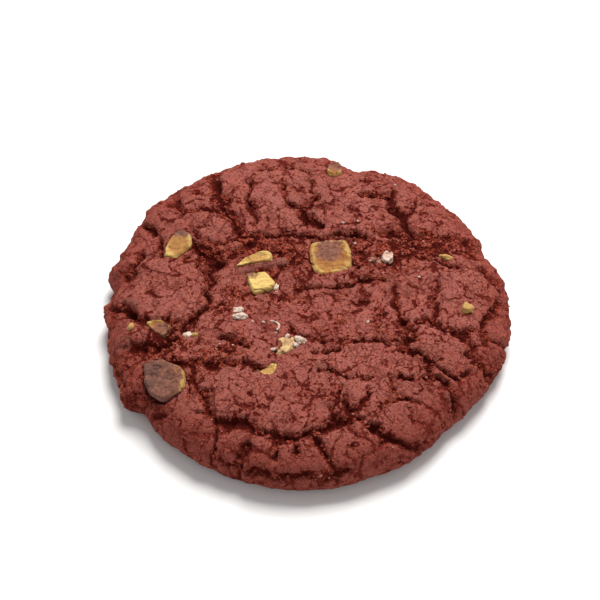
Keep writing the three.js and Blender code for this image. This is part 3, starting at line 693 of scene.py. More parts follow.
def relief(x, y, settings):
    """Height over the bare section at places laid out flat, and what each place is like.

    to_edge and to_crack say in mm how far it is to open crumb and to a crack, and are below 0 inside them.
    hollow says from 0 to 1 how far a place is darkened: painted shade where it lies low and in pits, and
    darker crumb in some places. buried says how much chocolate there is just under it.
    The whole numbers that noise is given pick its layer.
    """
    run = np.hypot(x, y)

    # Lines are drawn straighter than they run: they wander (wx, wy), and cracks are jagged as well (jx, jy)
    wx = x + WANDER * wave(x, y, WANDER_LENGTH, 1)
    wy = y + WANDER * wave(x, y, WANDER_LENGTH, 2)
    jx = wx + JAGGED * rough(x, y, JAGGED_LENGTH, 31, 2)
    jy = wy + JAGGED * rough(x, y, JAGGED_LENGTH, 41, 2)
    ragged = rough(x, y, RAGGED_LENGTH, 21, 2)
    opening = OPENING_MEAN + OPENING_VARIES * wave(x, y, OPENING_LENGTH, 24)
    opening += OPENING_FLUTTERS * wave(x, y, OPENING_DETAIL, 25)
    standing = ridges(wx, wy)
    on_ridge = np.clip(standing / 0.4, 0, 1)
    to_edge, to_crack, drop = fissures(jx, jy, np.clip(opening, 0, 1.5), ragged)
    plate = PLATE_RISE * (1 - np.exp(-np.maximum(to_edge, 0.0) / PLATE_ROUNDING))

    # Open crumb shows in hollows, in crumbly places and where a flake came off
    sunk = spread(x, y, HOLLOWS)
    crumbly = CRUMB_IN_HOLLOWS * sunk + spread(x, y, CRUMBLY)
    crumbly += CRUMB_BY_CHANCE * rough(x, y, CRUMBLY_LENGTH, 51)
    crumbly += CRUMB_AT_RIM * smooth((run - 45) / 6) - CRUMB_FROM - CRUMB_OFF_RIDGES * on_ridge
    nearest, between = cells(jx, jy, CLUMP_SIZE, 81)
    flake = between / 2 - FLAKE_REACH + FLAKE_VARIES * rough(x, y, FLAKE_LENGTH, 58)
    flake -= np.clip(crumbly - 0.5, 0, 1)
    to_edge = np.minimum(to_edge, np.maximum(-2.2 * crumbly, np.minimum(flake, 0.5)))
    exposed = within(to_edge, 0.1, 0.4)

    for kind in SMALL_CRACKS:
        from_crack = from_small_cracks(x, y, jx, jy, ragged, kind)
        drop += (1 - on_ridge) * settings.crack_depth * kind.deep * within(from_crack, 0.12, 0.3)
        to_crack = np.minimum(to_crack, from_crack + kind.spare)
    to_crack = np.maximum(to_crack, on_ridge - 0.4)
    # Painted shade: the lower a place lies, the darker it is painted
    hollow = smooth(drop / 0.95)
    hollow = np.maximum(hollow, exposed * np.clip(spread(x, y, DARK_CRUMB), 0, 1))

    grains, pits, from_pit = open_crumb(x, y, nearest, between)
    to_crack = np.minimum(to_crack, from_pit + FAR * (1 - exposed))

    waves = WAVE_HEIGHT * wave(x, y, WAVE_LENGTH, 3)
    lumps = (LUMP_HEIGHT + 0.2 * exposed) * wave(x, y, LUMP_LENGTH, 4)
    height = PLATE_BASE + plate + waves + lumps - drop - sunk
    height += exposed * (grains - CRUMB_SINK - PIT_SINK * pits) * settings.crumb_relief
    height += (1 - exposed) * SKIN_HEIGHT * rough(x, y, SKIN_LENGTH, 91, 2)

    # The side is lumpier than the top, but for the calm shoulder at the front
    by_rim = smooth((run - SIDE_FROM) / 10)
    by_rim *= 1 - CALM_SHARE * smooth((-y - 10) / 20) * within(run, CALM_UP_TO, 4)
    for high, length, layer in SIDE_LUMPS:
        height += by_rim * high * rough(x, y, length, layer, 2)
    height += standing

    # Chocolate just under the crust lifts and smooths it, and so do ridges
    buried = np.zeros_like(x)
    for place, reach, lift in BURIED:
        lump = patch_on_plan(wx, wy, place, reach)
        height += lift * smooth(1.6 * lump)
        buried = np.maximum(buried, min(1.0, 2.5 * lift) * smooth((lump - 0.3) / 0.3))
    buried = np.maximum(buried, 0.45 * on_ridge)
    hollow *= 1 - buried
    to_edge = np.maximum(to_edge, 2 * buried - 1.2)
    to_crack = np.maximum(to_crack, 1.6 * buried - 1)

    for place, reach, deep in PITS:
        pit = patch_on_plan(wx, wy, place, reach)
        height -= deep * smooth(1.6 * pit)
        to_crack = np.minimum(to_crack, 1.2 - 2.4 * pit)
        to_edge = np.minimum(to_edge, 0.8 - 2.4 * pit)
        # Painted shade in the pit
        hollow = np.maximum(hollow, smooth(1.6 * pit))

    tells = {
        "to_edge": np.clip(to_edge, -2, 2),
        "to_crack": np.clip(to_crack, -2, 2),
        "hollow": hollow,
        "buried": buried,
    }
    return height, tells


def rim_lobe(angle):
    """How far the rim stands out from the round."""
    total = np.zeros_like(angle)
    for degrees, half_width, bulge in RIM_LOBES + RIM_CHIPS:
        off = (np.degrees(angle) - degrees + 180) % 360 - 180
        total += bulge * np.exp(-((off / half_width) ** 2))
    return total


def crust_surface(x, y, settings):
    """Points of the crust at places laid out flat, outward normals before relief, and what relief tells."""
    run = np.hypot(x, y)
    angle = np.arctan2(y, x)
    on_radius = np.interp(run, RUN, RADIUS)
    on_height = np.interp(run, RUN, HEIGHT)
    ahead = np.minimum(run + SLOPE_STEP, SECTION_LENGTH)
    behind = np.maximum(run - SLOPE_STEP, 0.0)
    rises = [np.interp(ahead, RUN, line) - np.interp(behind, RUN, line) for line in (RADIUS, HEIGHT)]
    along_r, along_z = (rise / (ahead - behind) for rise in rises)
    height, tells = relief(x, y, settings)
    rise = height * smooth((SECTION_LENGTH - run) / RIM_FADE)
    radius = on_radius + rim_lobe(angle) * smooth(on_radius / WIDEST_RADIUS) - along_z * rise
    z = np.maximum(0, on_height + along_r * rise)
    points = np.stack([radius * np.cos(angle), radius * np.sin(angle), z], axis=1)
    normals = np.stack([-along_z * np.cos(angle), -along_z * np.sin(angle), along_r], axis=1)
    return points, normals, tells


# ---- meshes


def mesh_object(name, points, faces, slot, material, replaced=(), **attributes):
    """A new smooth piece from points in millimetres and faces, which rides on the cookie."""
    mesh = bpy.data.meshes.new(name)
    mesh.vertices.add(len(points))
    points = np.asarray(points) * MM
    points[:, 2] = np.maximum(points[:, 2], 0.0)
    mesh.vertices.foreach_set("co", points.astype(np.float32).ravel())
    faces = np.asarray(faces, np.int32)
    mesh.loops.add(faces.size)
    mesh.loops.foreach_set("vertex_index", faces.ravel())
    mesh.polygons.add(len(faces))
    mesh.polygons.foreach_set("loop_start", np.arange(len(faces), dtype=np.int32) * faces.shape[1])
    mesh.update(calc_edges=True)
    mesh.polygons.foreach_set("use_smooth", np.full(len(faces), True))
    for key, values in attributes.items():
        attribute = mesh.attributes.new(key, "FLOAT", "POINT")
        attribute.data.foreach_set("value", np.asarray(values, np.float32))
    mesh.materials.append(material)
    piece = bpy.data.objects.new(name, mesh)
    bpy.context.scene.collection.objects.link(piece)
    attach(piece, BODY)
    if replaced:
        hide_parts(*replaced)


def hexagonal_disc(rings):
    """Reach from 0 to 1 and turn of the points of a disc whose ring k has 6k points, and its triangles."""

    def index(k, j):
        return (1 + 3 * k * (k - 1) if k else 0) + j % max(6 * k, 1)

    ring = np.concatenate([[0], np.repeat(np.arange(1, rings + 1), 6 * np.arange(1, rings + 1))])
    turn = np.concatenate([[0.0], *[np.arange(6 * k) / (6 * k) for k in range(1, rings + 1)]])
    faces = []
    for k in range(rings):
        sixth, i = np.divmod(np.arange(6 * (k + 1)), k + 1)
        inner, outer = sixth * k + i, sixth * (k + 1) + i
        faces.append(np.stack([index(k, inner), index(k + 1, outer), index(k + 1, outer + 1)], axis=1))
        full = i < k
        inner, outer = inner[full], outer[full]
        faces.append(np.stack([index(k, inner), index(k + 1, outer + 1), index(k, inner + 1)], axis=1))
    return ring / rings, turn * 2 * math.pi, np.concatenate(faces)


def over_box(points, low, high, margin):
    """Which points of the top lie over a box that is made wider by a margin."""
    over = np.all((points[:, :2] > low[:2] - margin) & (points[:, :2] < high[:2] + margin), axis=1)
    return over & (points[:, 2] > TOP_FROM)


def seated_depth(points, normals):
    """How far the crust gives way under each chocolate piece, so that the piece lies in it."""
    give = np.zeros(len(points))
    for name in CHUNKS:
        low, high = np.array(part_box(name)) / MM
        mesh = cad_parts[name].data
        corners = [v.co / MM for v in mesh.vertices]
        tree = BVHTree.FromPolygons(corners, [p.vertices[:] for p in mesh.polygons])
        for i in np.flatnonzero(over_box(points, low, high, 1.0)):
            normal = Vector(normals[i])
            start = Vector(points[i]) + SEAT_REACH * normal
            hit, _, _, distance = tree.ray_cast(start, -normal, 2 * SEAT_REACH)
            if hit is not None:
                give[i] = max(0.0, distance - SEAT_REACH + SEAT_DEPTH)
    return give


def build_crust(settings):
    """The crackled top and side, closed by a coarser underside with the pores of a baked bottom."""
    ring, turn, faces = hexagonal_disc(TOP_RINGS)
    x, y = ring * SECTION_LENGTH * np.cos(turn), ring * SECTION_LENGTH * np.sin(turn)
    points, normals, tells = crust_surface(x, y, settings)
    points -= normals * seated_depth(points, normals)[:, None]
    total, rim_count = len(points), 6 * TOP_RINGS
    rim_start = total - rim_count

    ring, turn, under_faces = hexagonal_disc(BASE_RINGS)
    rim_turn = np.arange(rim_count) / rim_count * 2 * math.pi
    radius = ring * np.interp(turn, rim_turn, np.hypot(*points[rim_start:, :2].T))
    ux, uy = radius * np.cos(turn), radius * np.sin(turn)
    pores = smooth((domes(ux, uy, PORE_SIZE, 101) - 0.55) / 0.4)
    pores *= smooth((rough(ux, uy, PORES_COME, 103) + 0.5) / 0.8)
    lift = PORE_DEPTH * pores + BASE_WAVE * (1 + wave(ux, uy, BASE_WAVE_LENGTH, 105)) / 2
    lift *= smooth((1 - ring) * 30)

    # Its outermost ring is the crust's own rim, every third point of it, and slivers close the rest
    edge_count = 6 * BASE_RINGS
    keep = len(lift) - edge_count
    under = np.stack([ux, uy, lift], axis=1)[:keep]
    step = TOP_RINGS // BASE_RINGS
    j = np.arange(edge_count)
    corner, following = rim_start + j * step, rim_start + (j + 1) % edge_count * step
    under_faces = np.concatenate([np.arange(keep) + total, corner])[under_faces][:, ::-1]
    slivers = [np.stack([following, corner + k + 1, corner + k], axis=1) for k in range(step - 1)]

    below = smooth((np.hypot(x, y) / SECTION_LENGTH - BROWNED_FROM) / 0.03)
    below[rim_start:] = 1.0
    # Painted shade: the side is darkened, more so the further out it lies
    on_side = smooth((np.hypot(x, y) - SIDE_SHADE_FROM) / 10)
    mesh_object(
        "crust",
        np.concatenate([points, under]),
        np.concatenate([faces, under_faces, *slivers]),
        "crust",
        crust_material(settings),
        ["cookie"],
        to_edge=np.concatenate([tells["to_edge"], np.full(keep, 2.0)]),
        to_crack=np.concatenate([tells["to_crack"], 0.9 - pores[:keep]]),
        hollow=np.concatenate([tells["hollow"], np.zeros(keep)]),
        buried=np.concatenate([tells["buried"], np.zeros(keep)]),
        below=np.concatenate([below, np.ones(keep)]),
        on_side=np.concatenate([on_side, np.zeros(keep)]),
    )


# ---- crumbs


def icosahedron():
    """Corners and triangles of a regular grain of radius 1."""
    golden = (1 + math.sqrt(5)) / 2
    corners = []
    for a in (-1, 1):
        for b in (-golden, golden):
            corners += [(a, b, 0), (0, a, b), (b, 0, a)]
    corners = np.array(corners) / math.hypot(1, golden)
    faces = []
    for i, j, k in itertools.combinations(range(12), 3):
        a, b, c = corners[[i, j, k]]
        if min(np.dot(a, b), np.dot(b, c), np.dot(a, c)) > 0.4:
            outward = np.dot(np.cross(b - a, c - a), a + b + c) > 0
            faces.append((i, j, k) if outward else (i, k, j))
    return corners, np.array(faces)


def turned(random, count):
    """Random rotations."""
    q = random.normal(size=(count, 4))
    w, x, y, z = (q / np.linalg.norm(q, axis=1)[:, None]).T
    rows = [
        [1 - 2 * (y * y + z * z), 2 * (x * y - z * w), 2 * (x * z + y * w)],
        [2 * (x * y + z * w), 1 - 2 * (x * x + z * z), 2 * (y * z - x * w)],
        [2 * (x * z - y * w), 2 * (y * z + x * w), 1 - 2 * (x * x + y * y)],
    ]
    return np.moveaxis(np.array(rows), -1, 0)


def over_crust(random, count):
    """Random places laid out flat, spread evenly over the top and the side."""
    run = SECTION_LENGTH * CRUMBS_END * np.sqrt(random.random(count * 2))
    shrink = np.interp(run, RUN, RADIUS) / np.maximum(run, 1.0)
    run = run[random.random(count * 2) < shrink][:count]
    angle = random.random(len(run)) * 2 * math.pi
    return run * np.cos(angle), run * np.sin(angle)


def build_crumbs(settings, crust_settings):
    """Grains that lie in the open crumb, clear of cracks and chocolate, one piece for each size."""
    corners, faces = icosahedron()
    material = crumb_material(crust_settings)
    counts = {"coarse_crumbs": settings.coarse_count, "fine_crumbs": settings.fine_count}
    for name, (seed, small, large, full_from) in CRUMB_KINDS.items():
        random = np.random.default_rng(seed)
        points, normals, tells = crust_surface(*over_crust(random, counts[name] * 5), crust_settings)
        share = np.clip(-tells["to_edge"] / full_from, 0, 1) + settings.strays
        wanted = random.random(len(points)) < share
        wanted &= (tells["to_crack"] > CRACK_CLEARANCE) & (tells["buried"] < MOST_BURIED)
        for node in CHUNKS:
            low, high = np.array(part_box(node)) / MM
            wanted &= ~over_box(points, low, high, -BOX_OVERLAP)
        chosen = np.flatnonzero(wanted)[: counts[name]]
        total = len(chosen)

        # Each is a grain with uneven corners, stretched, turned and pressed a little into the crumb
        size = small + (large - small) * random.random(total) ** 2
        stretch = 0.6 + 0.8 * random.random((total, 1, 3))
        shapes = corners * (0.65 + 0.7 * random.random((total, 12, 1))) * stretch * size[:, None, None]
        shapes = np.einsum("nij,nkj->nki", turned(random, total), shapes)
        middle = points[chosen] + normals[chosen] * (size * 0.1)[:, None]
        middle[:, 2] = np.maximum(middle[:, 2], size * 1.2)
        mesh_object(
            name,
            (shapes + middle[:, None]).reshape(-1, 3),
            (faces[None] + 12 * np.arange(total)[:, None, None]).reshape(-1, 3),
            "crust",
            material,
            tone=np.repeat(random.random(total), 12),
            to_crack=np.repeat(tells["to_crack"][chosen], 12),
            hollow=np.repeat(tells["hollow"][chosen], 12),
        )


# ---- chocolate


def remeshed(source):
    """Points in millimetres, normals and faces of a fine, even and softened copy of a CAD node's mesh."""
    copy = bpy.data.objects.new("even_copy", source.data.copy())
    bpy.context.scene.collection.objects.link(copy)
    copy.data.transform(Matrix.Scale(1 / MM, 4))
    even = copy.modifiers.new("even", "REMESH")
    even.mode = "VOXEL"
    even.voxel_size = CHOCOLATE_STEP
    soft = copy.modifiers.new("soft", "SMOOTH")
    soft.factor = 0.6
    soft.iterations = 6
    bpy.context.view_layer.update()
    mesh = bpy.data.meshes.new_from_object(copy.evaluated_get(bpy.context.evaluated_depsgraph_get()))
    points, normals = (np.zeros(len(mesh.vertices) * 3) for _ in range(2))
    mesh.vertices.foreach_get("co", points)
    mesh.vertices.foreach_get("normal", normals)
    faces = np.array([p.vertices[:] for p in mesh.polygons if len(p.vertices) == 4])
    bpy.data.objects.remove(copy)
    bpy.data.meshes.remove(mesh)
    return points.reshape(-1, 3), normals.reshape(-1, 3), faces


def build_chocolate(settings):
    """The ten larger pieces, each over its CAD node, chipped and creased and partly under a film of crust."""
    materials = {
        finish: chocolate_material(finish, *[getattr(settings, name) for name in colours], settings)
        for finish, colours in FINISHES.items()
    }
    for name, (place, reach, strength, grey, pale, finish) in CHUNKS.items():
        points, normals, faces = remeshed(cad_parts[name])
        offset = (points[:, :2] - place) / reach + waves_in_space(points, FILM_WAVERS)[:, None]
        film = strength * smooth((1.35 - (np.abs(offset) ** 3).sum(axis=1) ** (1 / 3)) / 0.7)
        if name not in WRAPPED:
            film *= smooth((normals[:, 2] + 0.1) / 0.4)
        chips = waves_in_space(points, CHIPS)
        if finish != "golden_chocolate":
            chips += waves_in_space(points, BROKEN)
        creases = 1 - np.abs(noise_in_space(points * CREASE_STRETCH, CREASE_LENGTH, 11))
        creases = smooth((creases - 0.86) / 0.14)
        points = points + normals * (chips - CREASE_DEPTH * creases - FILM_DEPTH * film)[:, None]

        # The edge all round is paler than the middle, which browned
        middle = (points.min(axis=0) + points.max(axis=0)) / 2
        out = np.hypot(*((points - middle) / (np.ptp(points, axis=0) / 2))[:, :2].T)
        edge = smooth((out + 0.2 * noise_in_space(points, 1.2, 12) - 0.62) / 0.3)
        edge *= smooth(normals[:, 2] + 0.4)
        mesh_object(
            name + "_piece",
            points,
            faces,
            "chocolate",
            materials[finish],
            [name],
            film=film,
            grey=grey * smooth(0.75 - 0.5 * offset[:, 0]),
            pale=np.clip(pale + 0.6 * edge, 0, 1),
            crease=creases,
        )


def ball(steps):
    """Corners and triangles of a round ball."""
    mesh = bpy.data.meshes.new("ball")
    builder = bmesh.new()
    bmesh.ops.create_icosphere(builder, subdivisions=steps, radius=1.0)
    builder.to_mesh(mesh)
    builder.free()
    points = np.array([v.co for v in mesh.vertices])
    faces = np.array([p.vertices[:] for p in mesh.polygons])
    bpy.data.meshes.remove(mesh)
    return points, faces


def on_crust(place, settings):
    """The crust's point over a plan place, and the outward normal there."""
    x, y = np.array(place, float)[:, None]
    points, normals, _ = crust_surface(*laid_out(x, y), settings)
    return points[0], normals[0]


def build_bits(crust_settings):
    """Small bits, one piece for each finish. Each bit is a lump, or a few rough lumps stuck together."""
    round_shape, faces = ball(3)
    boxy = round_shape / (np.abs(round_shape) ** BOXY_POWER).sum(axis=1)[:, None] ** (1 / BOXY_POWER)
    random = np.random.default_rng(BITS_SEED)
    for name, (bits, finish, most_lumps, pale, rugged) in BIT_KINDS.items():
        all_points, all_faces, films = [], [], []
        for place, size, turn, depth, film in bits:
            ground, normal = on_crust(place, crust_settings)
            ground = ground + normal * (0.5 - depth) * size[2]
            upright = Vector((0, 0, 1)).rotation_difference(Vector(normal)).to_matrix()
            rotation = np.array(upright @ Matrix.Rotation(math.radians(turn), 3, "Z"))
            lumps = most_lumps if size[0] > SHORT_BIT else min(most_lumps, 2)
            for _ in range(lumps):
                share = 1.0 if lumps == 1 else 0.4 + 0.35 * random.random()
                at = 1.2 * (1 - share) * (2 * random.random(3) - 1) * np.array(size) / 2
                apart = round_shape + 9 * random.random(3)
                swell = 1 + rugged * waves_in_space(apart, LUMPY)
                shape = (round_shape if lumps == 1 else boxy) * swell[:, None]
                shape = shape * share * np.array(size) * LUMP_SHARE + at
                all_faces.append(faces + len(round_shape) * len(all_points))
                all_points.append(shape @ rotation.T + ground)
                films.append(np.full(len(round_shape), film + 0.25 * (2 * random.random() - 1) * (lumps > 1)))
        points = np.concatenate(all_points)
        mesh_object(
            name,
            points,
            np.concatenate(all_faces),
            "chocolate",
            bpy.data.materials[finish],
            film=np.concatenate(films),
            grey=np.zeros(len(points)),
            pale=np.full(len(points), pale),
            crease=np.zeros(len(points)),
        )


# ---- materials


class Nodes:
    """Adds nodes to one tree. Each input is a value or the socket that feeds it."""

    def __init__(self, tree):
        self.tree = tree

    def feed(self, socket, value):
        if isinstance(value, bpy.types.NodeSocket):
            self.tree.links.new(value, socket)
        else:
            socket.default_value = value

    def add(self, kind, settings=None, **inputs):
        """A node with its settings and inputs. n0 is input 0, and spaces in names are written as _."""
        node = self.tree.nodes.new("ShaderNode" + kind)
        for key, value in (settings or {}).items():
            setattr(node, key, value)
        for key, value in inputs.items():
            numbered = key[0] == "n" and key[1:].isdigit()
            self.feed(node.inputs[int(key[1:]) if numbered else key.replace("_", " ")], value)
        return node

    def calculate(self, operation, a, b, clamp=False):
        return self.add("Math", {"operation": operation, "use_clamp": clamp}, n0=a, n1=b).outputs[0]

    def plus(self, a, b, clamp=False):
        return self.calculate("ADD", a, b, clamp)

    def minus(self, a, b, clamp=False):
        return self.calculate("SUBTRACT", a, b, clamp)

    def times(self, a, b, clamp=False):
        return self.calculate("MULTIPLY", a, b, clamp)

    def larger(self, a, b):
        return self.calculate("MAXIMUM", a, b)

    def above(self, value, threshold, steepness):
        """How far a value is above a threshold, from 0 to 1."""
        return self.times(self.minus(value, threshold), steepness, clamp=True)

    def under(self, value, threshold, steepness):
        """How far a value is under a threshold, from 0 to 1."""
        return self.times(self.minus(threshold, value), steepness, clamp=True)

    def total(self, *shares):
        """Sum of values, each times its share."""
        parts = [self.times(value, share) for value, share in shares]
        return functools.reduce(self.plus, parts)

    def vector(self, operation, a, b):
        other = {"Scale": b} if operation == "SCALE" else {"n1": b}
        return self.add("VectorMath", {"operation": operation}, n0=a, **other).outputs[0]

    def noise(self, place, scale, detail, roughness=0.5):
        return self.add("TexNoise", Vector=place, Scale=scale, Detail=detail, Roughness=roughness).outputs

    def voronoi(self, place, feature):
        return self.add("TexVoronoi", {"feature": feature}, Vector=place, Scale=1.0).outputs["Distance"]

    def blend(self, factor, a, b):
        """Colour a, over which b comes by factor."""
        return self.add("Mix", {"data_type": "RGBA"}, n0=factor, n6=a, n7=b).outputs[2]

    def layered(self, colour, layers):
        """A colour under layers, each given as its cover, its share and its own colour."""
        for cover, share, over in layers:
            colour = self.blend(cover if share == 1.0 else self.times(cover, share), colour, over)
        return colour

    def attribute(self, name):
        return self.add("Attribute", {"attribute_name": name}).outputs["Fac"]

    def place_in_mm(self, size):
        """The place on the piece, counted in steps of size millimetres."""
        place = self.add("TexCoord").outputs["Object"]
        return self.vector("SCALE", place, self.calculate("DIVIDE", 1 / MM, size))

    def group(self, name, **inputs):
        """The outputs of a shared node group, which is built when it is first used."""
        node = self.tree.nodes.new("ShaderNodeGroup")
        node.node_tree = bpy.data.node_groups.get(name) or GROUPS[name](name)
        for key, value in inputs.items():
            node.inputs[key].default_value = value
        return node.outputs


def new_group(name, inputs, outputs):
    """An empty shader node group with float inputs, given as name: default, and float outputs."""
    tree = bpy.data.node_groups.new(name, "ShaderNodeTree")
    for key, default in inputs.items():
        socket = tree.interface.new_socket(key, in_out="INPUT", socket_type="NodeSocketFloat")
        socket.default_value = default
    for key in outputs:
        tree.interface.new_socket(key, in_out="OUTPUT", socket_type="NodeSocketFloat")
    given = tree.nodes.new("NodeGroupInput").outputs
    return tree, Nodes(tree), given, tree.nodes.new("NodeGroupOutput").inputs


def grain_group(name):
    """Sandy grain: rough grains of a size, the gaps between them, where the crust paints shade, and flecks of
    about that size.
    """
    tree, n, given, result = new_group(name, {"Size": 0.6, "Gap": 0.5}, ["Height", "Gaps", "Speckle"])
    place = n.place_in_mm(given["Size"])
    bent = n.vector("ADD", place, n.noise(place, 1.1, 3.0, 0.65)["Color"])
    fine = n.noise(place, 1.6, 5.0, 0.7)["Fac"]
    height = n.minus(n.times(fine, 1.6), n.voronoi(bent, "F1"))
    n.feed(result["Height"], height)
    n.feed(result["Gaps"], n.under(height, given["Gap"], 2.2))
    n.feed(result["Speckle"], n.noise(place, 1.0, 2.0, 0.6)["Fac"])
    return tree


def hairline_group(name):
    """Fine cracks between cells of a size, that come and go."""
    tree, n, given, result = new_group(name, {"Size": 3.0, "Width": 0.06, "Share": 0.5}, ["Line"])
    place = n.place_in_mm(given["Size"])
    bend = n.vector("SUBTRACT", n.noise(place, 1.6, 3.0, 0.6)["Color"], (0.5, 0.5, 0.5))
    edge = n.voronoi(n.vector("ADD", place, n.vector("SCALE", bend, 0.7)), "DISTANCE_TO_EDGE")
    here = n.above(n.noise(place, 0.7, 2.0)["Fac"], n.minus(0.85, given["Share"]), 4.0)
    width = n.plus(n.times(given["Width"], here), 0.0001)
    line = n.minus(1.0, n.calculate("DIVIDE", edge, width), clamp=True)
    n.feed(result["Line"], n.times(line, here))
    return tree


def blotch_group(name):
    """Soft patches of a size, from 0 to 1."""
    tree, n, given, result = new_group(name, {"Size": 8.0, "Contrast": 2.0}, ["Mask"])
    patches = n.noise(n.place_in_mm(given["Size"]), 1.0, 4.0, 0.55)["Fac"]
    strong = n.times(n.minus(patches, 0.5), given["Contrast"])
    n.feed(result["Mask"], n.plus(strong, 0.5, clamp=True))
    return tree


GROUPS = {"Baked grain": grain_group, "Hairlines": hairline_group, "Blotches": blotch_group}


def new_material(name):
    """A material, what adds nodes to it, and its shader."""
    material = bpy.data.materials.new(name)
    material.use_nodes = True
    return material, Nodes(material.node_tree), material.node_tree.nodes["Principled BSDF"].inputs


def bumpy(n, height):
    """The normal of a surface with a height in mm."""
    return n.add("Bump", Height=height, Distance=1.0 * MM, Strength=1.0).outputs[0]


def crust_material(settings):
    """Plates with painted highlight specks, redder open crumb, painted shade in cracks, hollows and on the
    side, and sandy flecks over all of it.
    """
    material, n, shader = new_material("crackled_crust")
    sand = n.group("Baked grain", Size=0.32, Gap=0.2)
    grain = n.group("Baked grain", Size=0.75, Gap=0.24)
    fleck = n.group("Baked grain", Size=0.42)["Speckle"]
    pit = n.group("Baked grain", Size=0.5)["Speckle"]
    torn = n.minus(n.group("Baked grain", Size=0.9)["Speckle"], 0.5)
    broad = n.group("Blotches", Size=16.0, Contrast=2.4)["Mask"]
    browned = n.group("Blotches", Size=11.0, Contrast=3.0)["Mask"]
    patches = n.group("Blotches", Size=3.0, Contrast=2.6)["Mask"]
    toasted = n.group("Blotches", Size=5.0, Contrast=4.5)["Mask"]
    hairs = n.group("Hairlines", Size=4.2, Width=0.09, Share=0.46)["Line"]
    finer = n.group("Hairlines", Size=1.7, Width=0.17, Share=0.46)["Line"]
    lines = n.larger(hairs, n.times(finer, 0.85))

    # Torn edges: the distances are cut at values that a fine noise shifts
    crumb = n.under(n.plus(n.attribute("to_edge"), n.times(torn, 1.6)), 0.15, 4.0)
    to_crack = n.plus(n.attribute("to_crack"), n.times(torn, 1.4))
    wall = n.under(to_crack, 0.34, 4.0)
    deep = n.under(to_crack, 0.15, 7.0)
    hollow = n.attribute("hollow")
    lowest = n.above(n.plus(hollow, n.times(torn, 1.6)), 0.6, 2.2)
    pitted = n.above(n.plus(pit, n.times(crumb, 0.06)), 0.585, 13.0)
    holes = n.times(n.above(grain["Speckle"], 0.535, 12.0), crumb)
    open_gaps = n.times(grain["Gaps"], n.plus(crumb, 0.08, clamp=True))

    crumb_colour = n.blend(n.times(toasted, 0.8), settings.crumb_colour, settings.toasted_colour)
    colour = n.layered(
        n.blend(broad, settings.plate_dark, settings.plate_light),
        (
            (browned, 0.3, settings.browned_colour),
            (patches, 0.3, settings.crumb_colour),
            (crumb, 1.0, crumb_colour),
            # Painted highlights: pale specks over the crust
            (n.above(fleck, 0.54, 7.0), 0.45, settings.highlight_speck_colour),
            (n.attribute("buried"), 0.8, settings.buried_colour),
            # Crack walls in their own darker colour, with painted shade where a place lies low
            (n.larger(n.times(wall, 0.8), n.times(hollow, 0.9)), 1.0, settings.wall_and_shade_colour),
            # Painted shade, near black where a place lies lowest
            (lowest, 0.8, settings.crack_shade_colour),
            # Painted shade in the gaps between sand grains and in small pits
            (n.larger(n.times(sand["Gaps"], 0.7), pitted), 1.0, settings.wall_and_shade_colour),
            # Painted shade in pits, in holes and gaps of the open crumb, and in cracks and hairlines
            (pitted, 0.75, settings.crack_shade_colour),
            (holes, 0.55, settings.crack_shade_colour),
            (open_gaps, 0.55, settings.crack_shade_colour),
            (n.larger(n.times(lines, 0.8), n.times(deep, 0.9)), 1.0, settings.crack_shade_colour),
            # Painted shade on the side
            (n.attribute("on_side"), 0.45, settings.wall_and_shade_colour),
            (n.attribute("below"), 0.75, settings.base_colour),
        ),
    )
    height = n.total(
        (sand["Height"], 0.12),
        (pitted, -0.12),
        (n.times(grain["Height"], crumb), 0.35),
        (holes, -0.25),
        (lines, -0.25),
        (deep, -0.3),
    )
    n.feed(shader["Base Color"], colour)
    n.feed(shader["Roughness"], n.plus(n.times(crumb, 0.08), 0.84))
    n.feed(shader["Normal"], bumpy(n, height))
    shader["Specular IOR Level"].default_value = 0.1
    return material


def crumb_material(settings):
    """Red crumbs, some darker at random, with painted shade near cracks and in hollows, and a few with painted
    highlights.
    """
    material, n, shader = new_material("red_crumb")
    tone = n.attribute("tone")
    hollow = n.attribute("hollow")
    toasted = n.group("Blotches", Size=5.0, Contrast=4.5)["Mask"]
    sunken = n.larger(n.under(n.attribute("to_crack"), 0.6, 1.6), hollow)
    lowest = n.above(n.minus(hollow, n.times(tone, 0.5)), 0.25, 2.0)
    colour = n.layered(
        n.blend(n.times(toasted, 0.5), settings.crumb_colour, settings.toasted_colour),
        (
            (n.under(tone, 0.6, 2.0), 1.0, settings.wall_and_shade_colour),
            # Painted highlight on a few crumbs
            (n.above(tone, 0.75, 4.0), 0.8, settings.highlight_speck_colour),
            # Painted shade on crumbs near cracks and in hollows, darkest where they lie lowest
            (sunken, 0.88, settings.wall_and_shade_colour),
            (lowest, 0.8, settings.crack_shade_colour),
        ),
    )
    grain = n.group("Baked grain", Size=0.3)
    n.feed(shader["Base Color"], colour)
    n.feed(shader["Normal"], bumpy(n, n.times(grain["Height"], 0.1)))
    shader["Roughness"].default_value = 0.85
    shader["Specular IOR Level"].default_value = 0.12
    return material


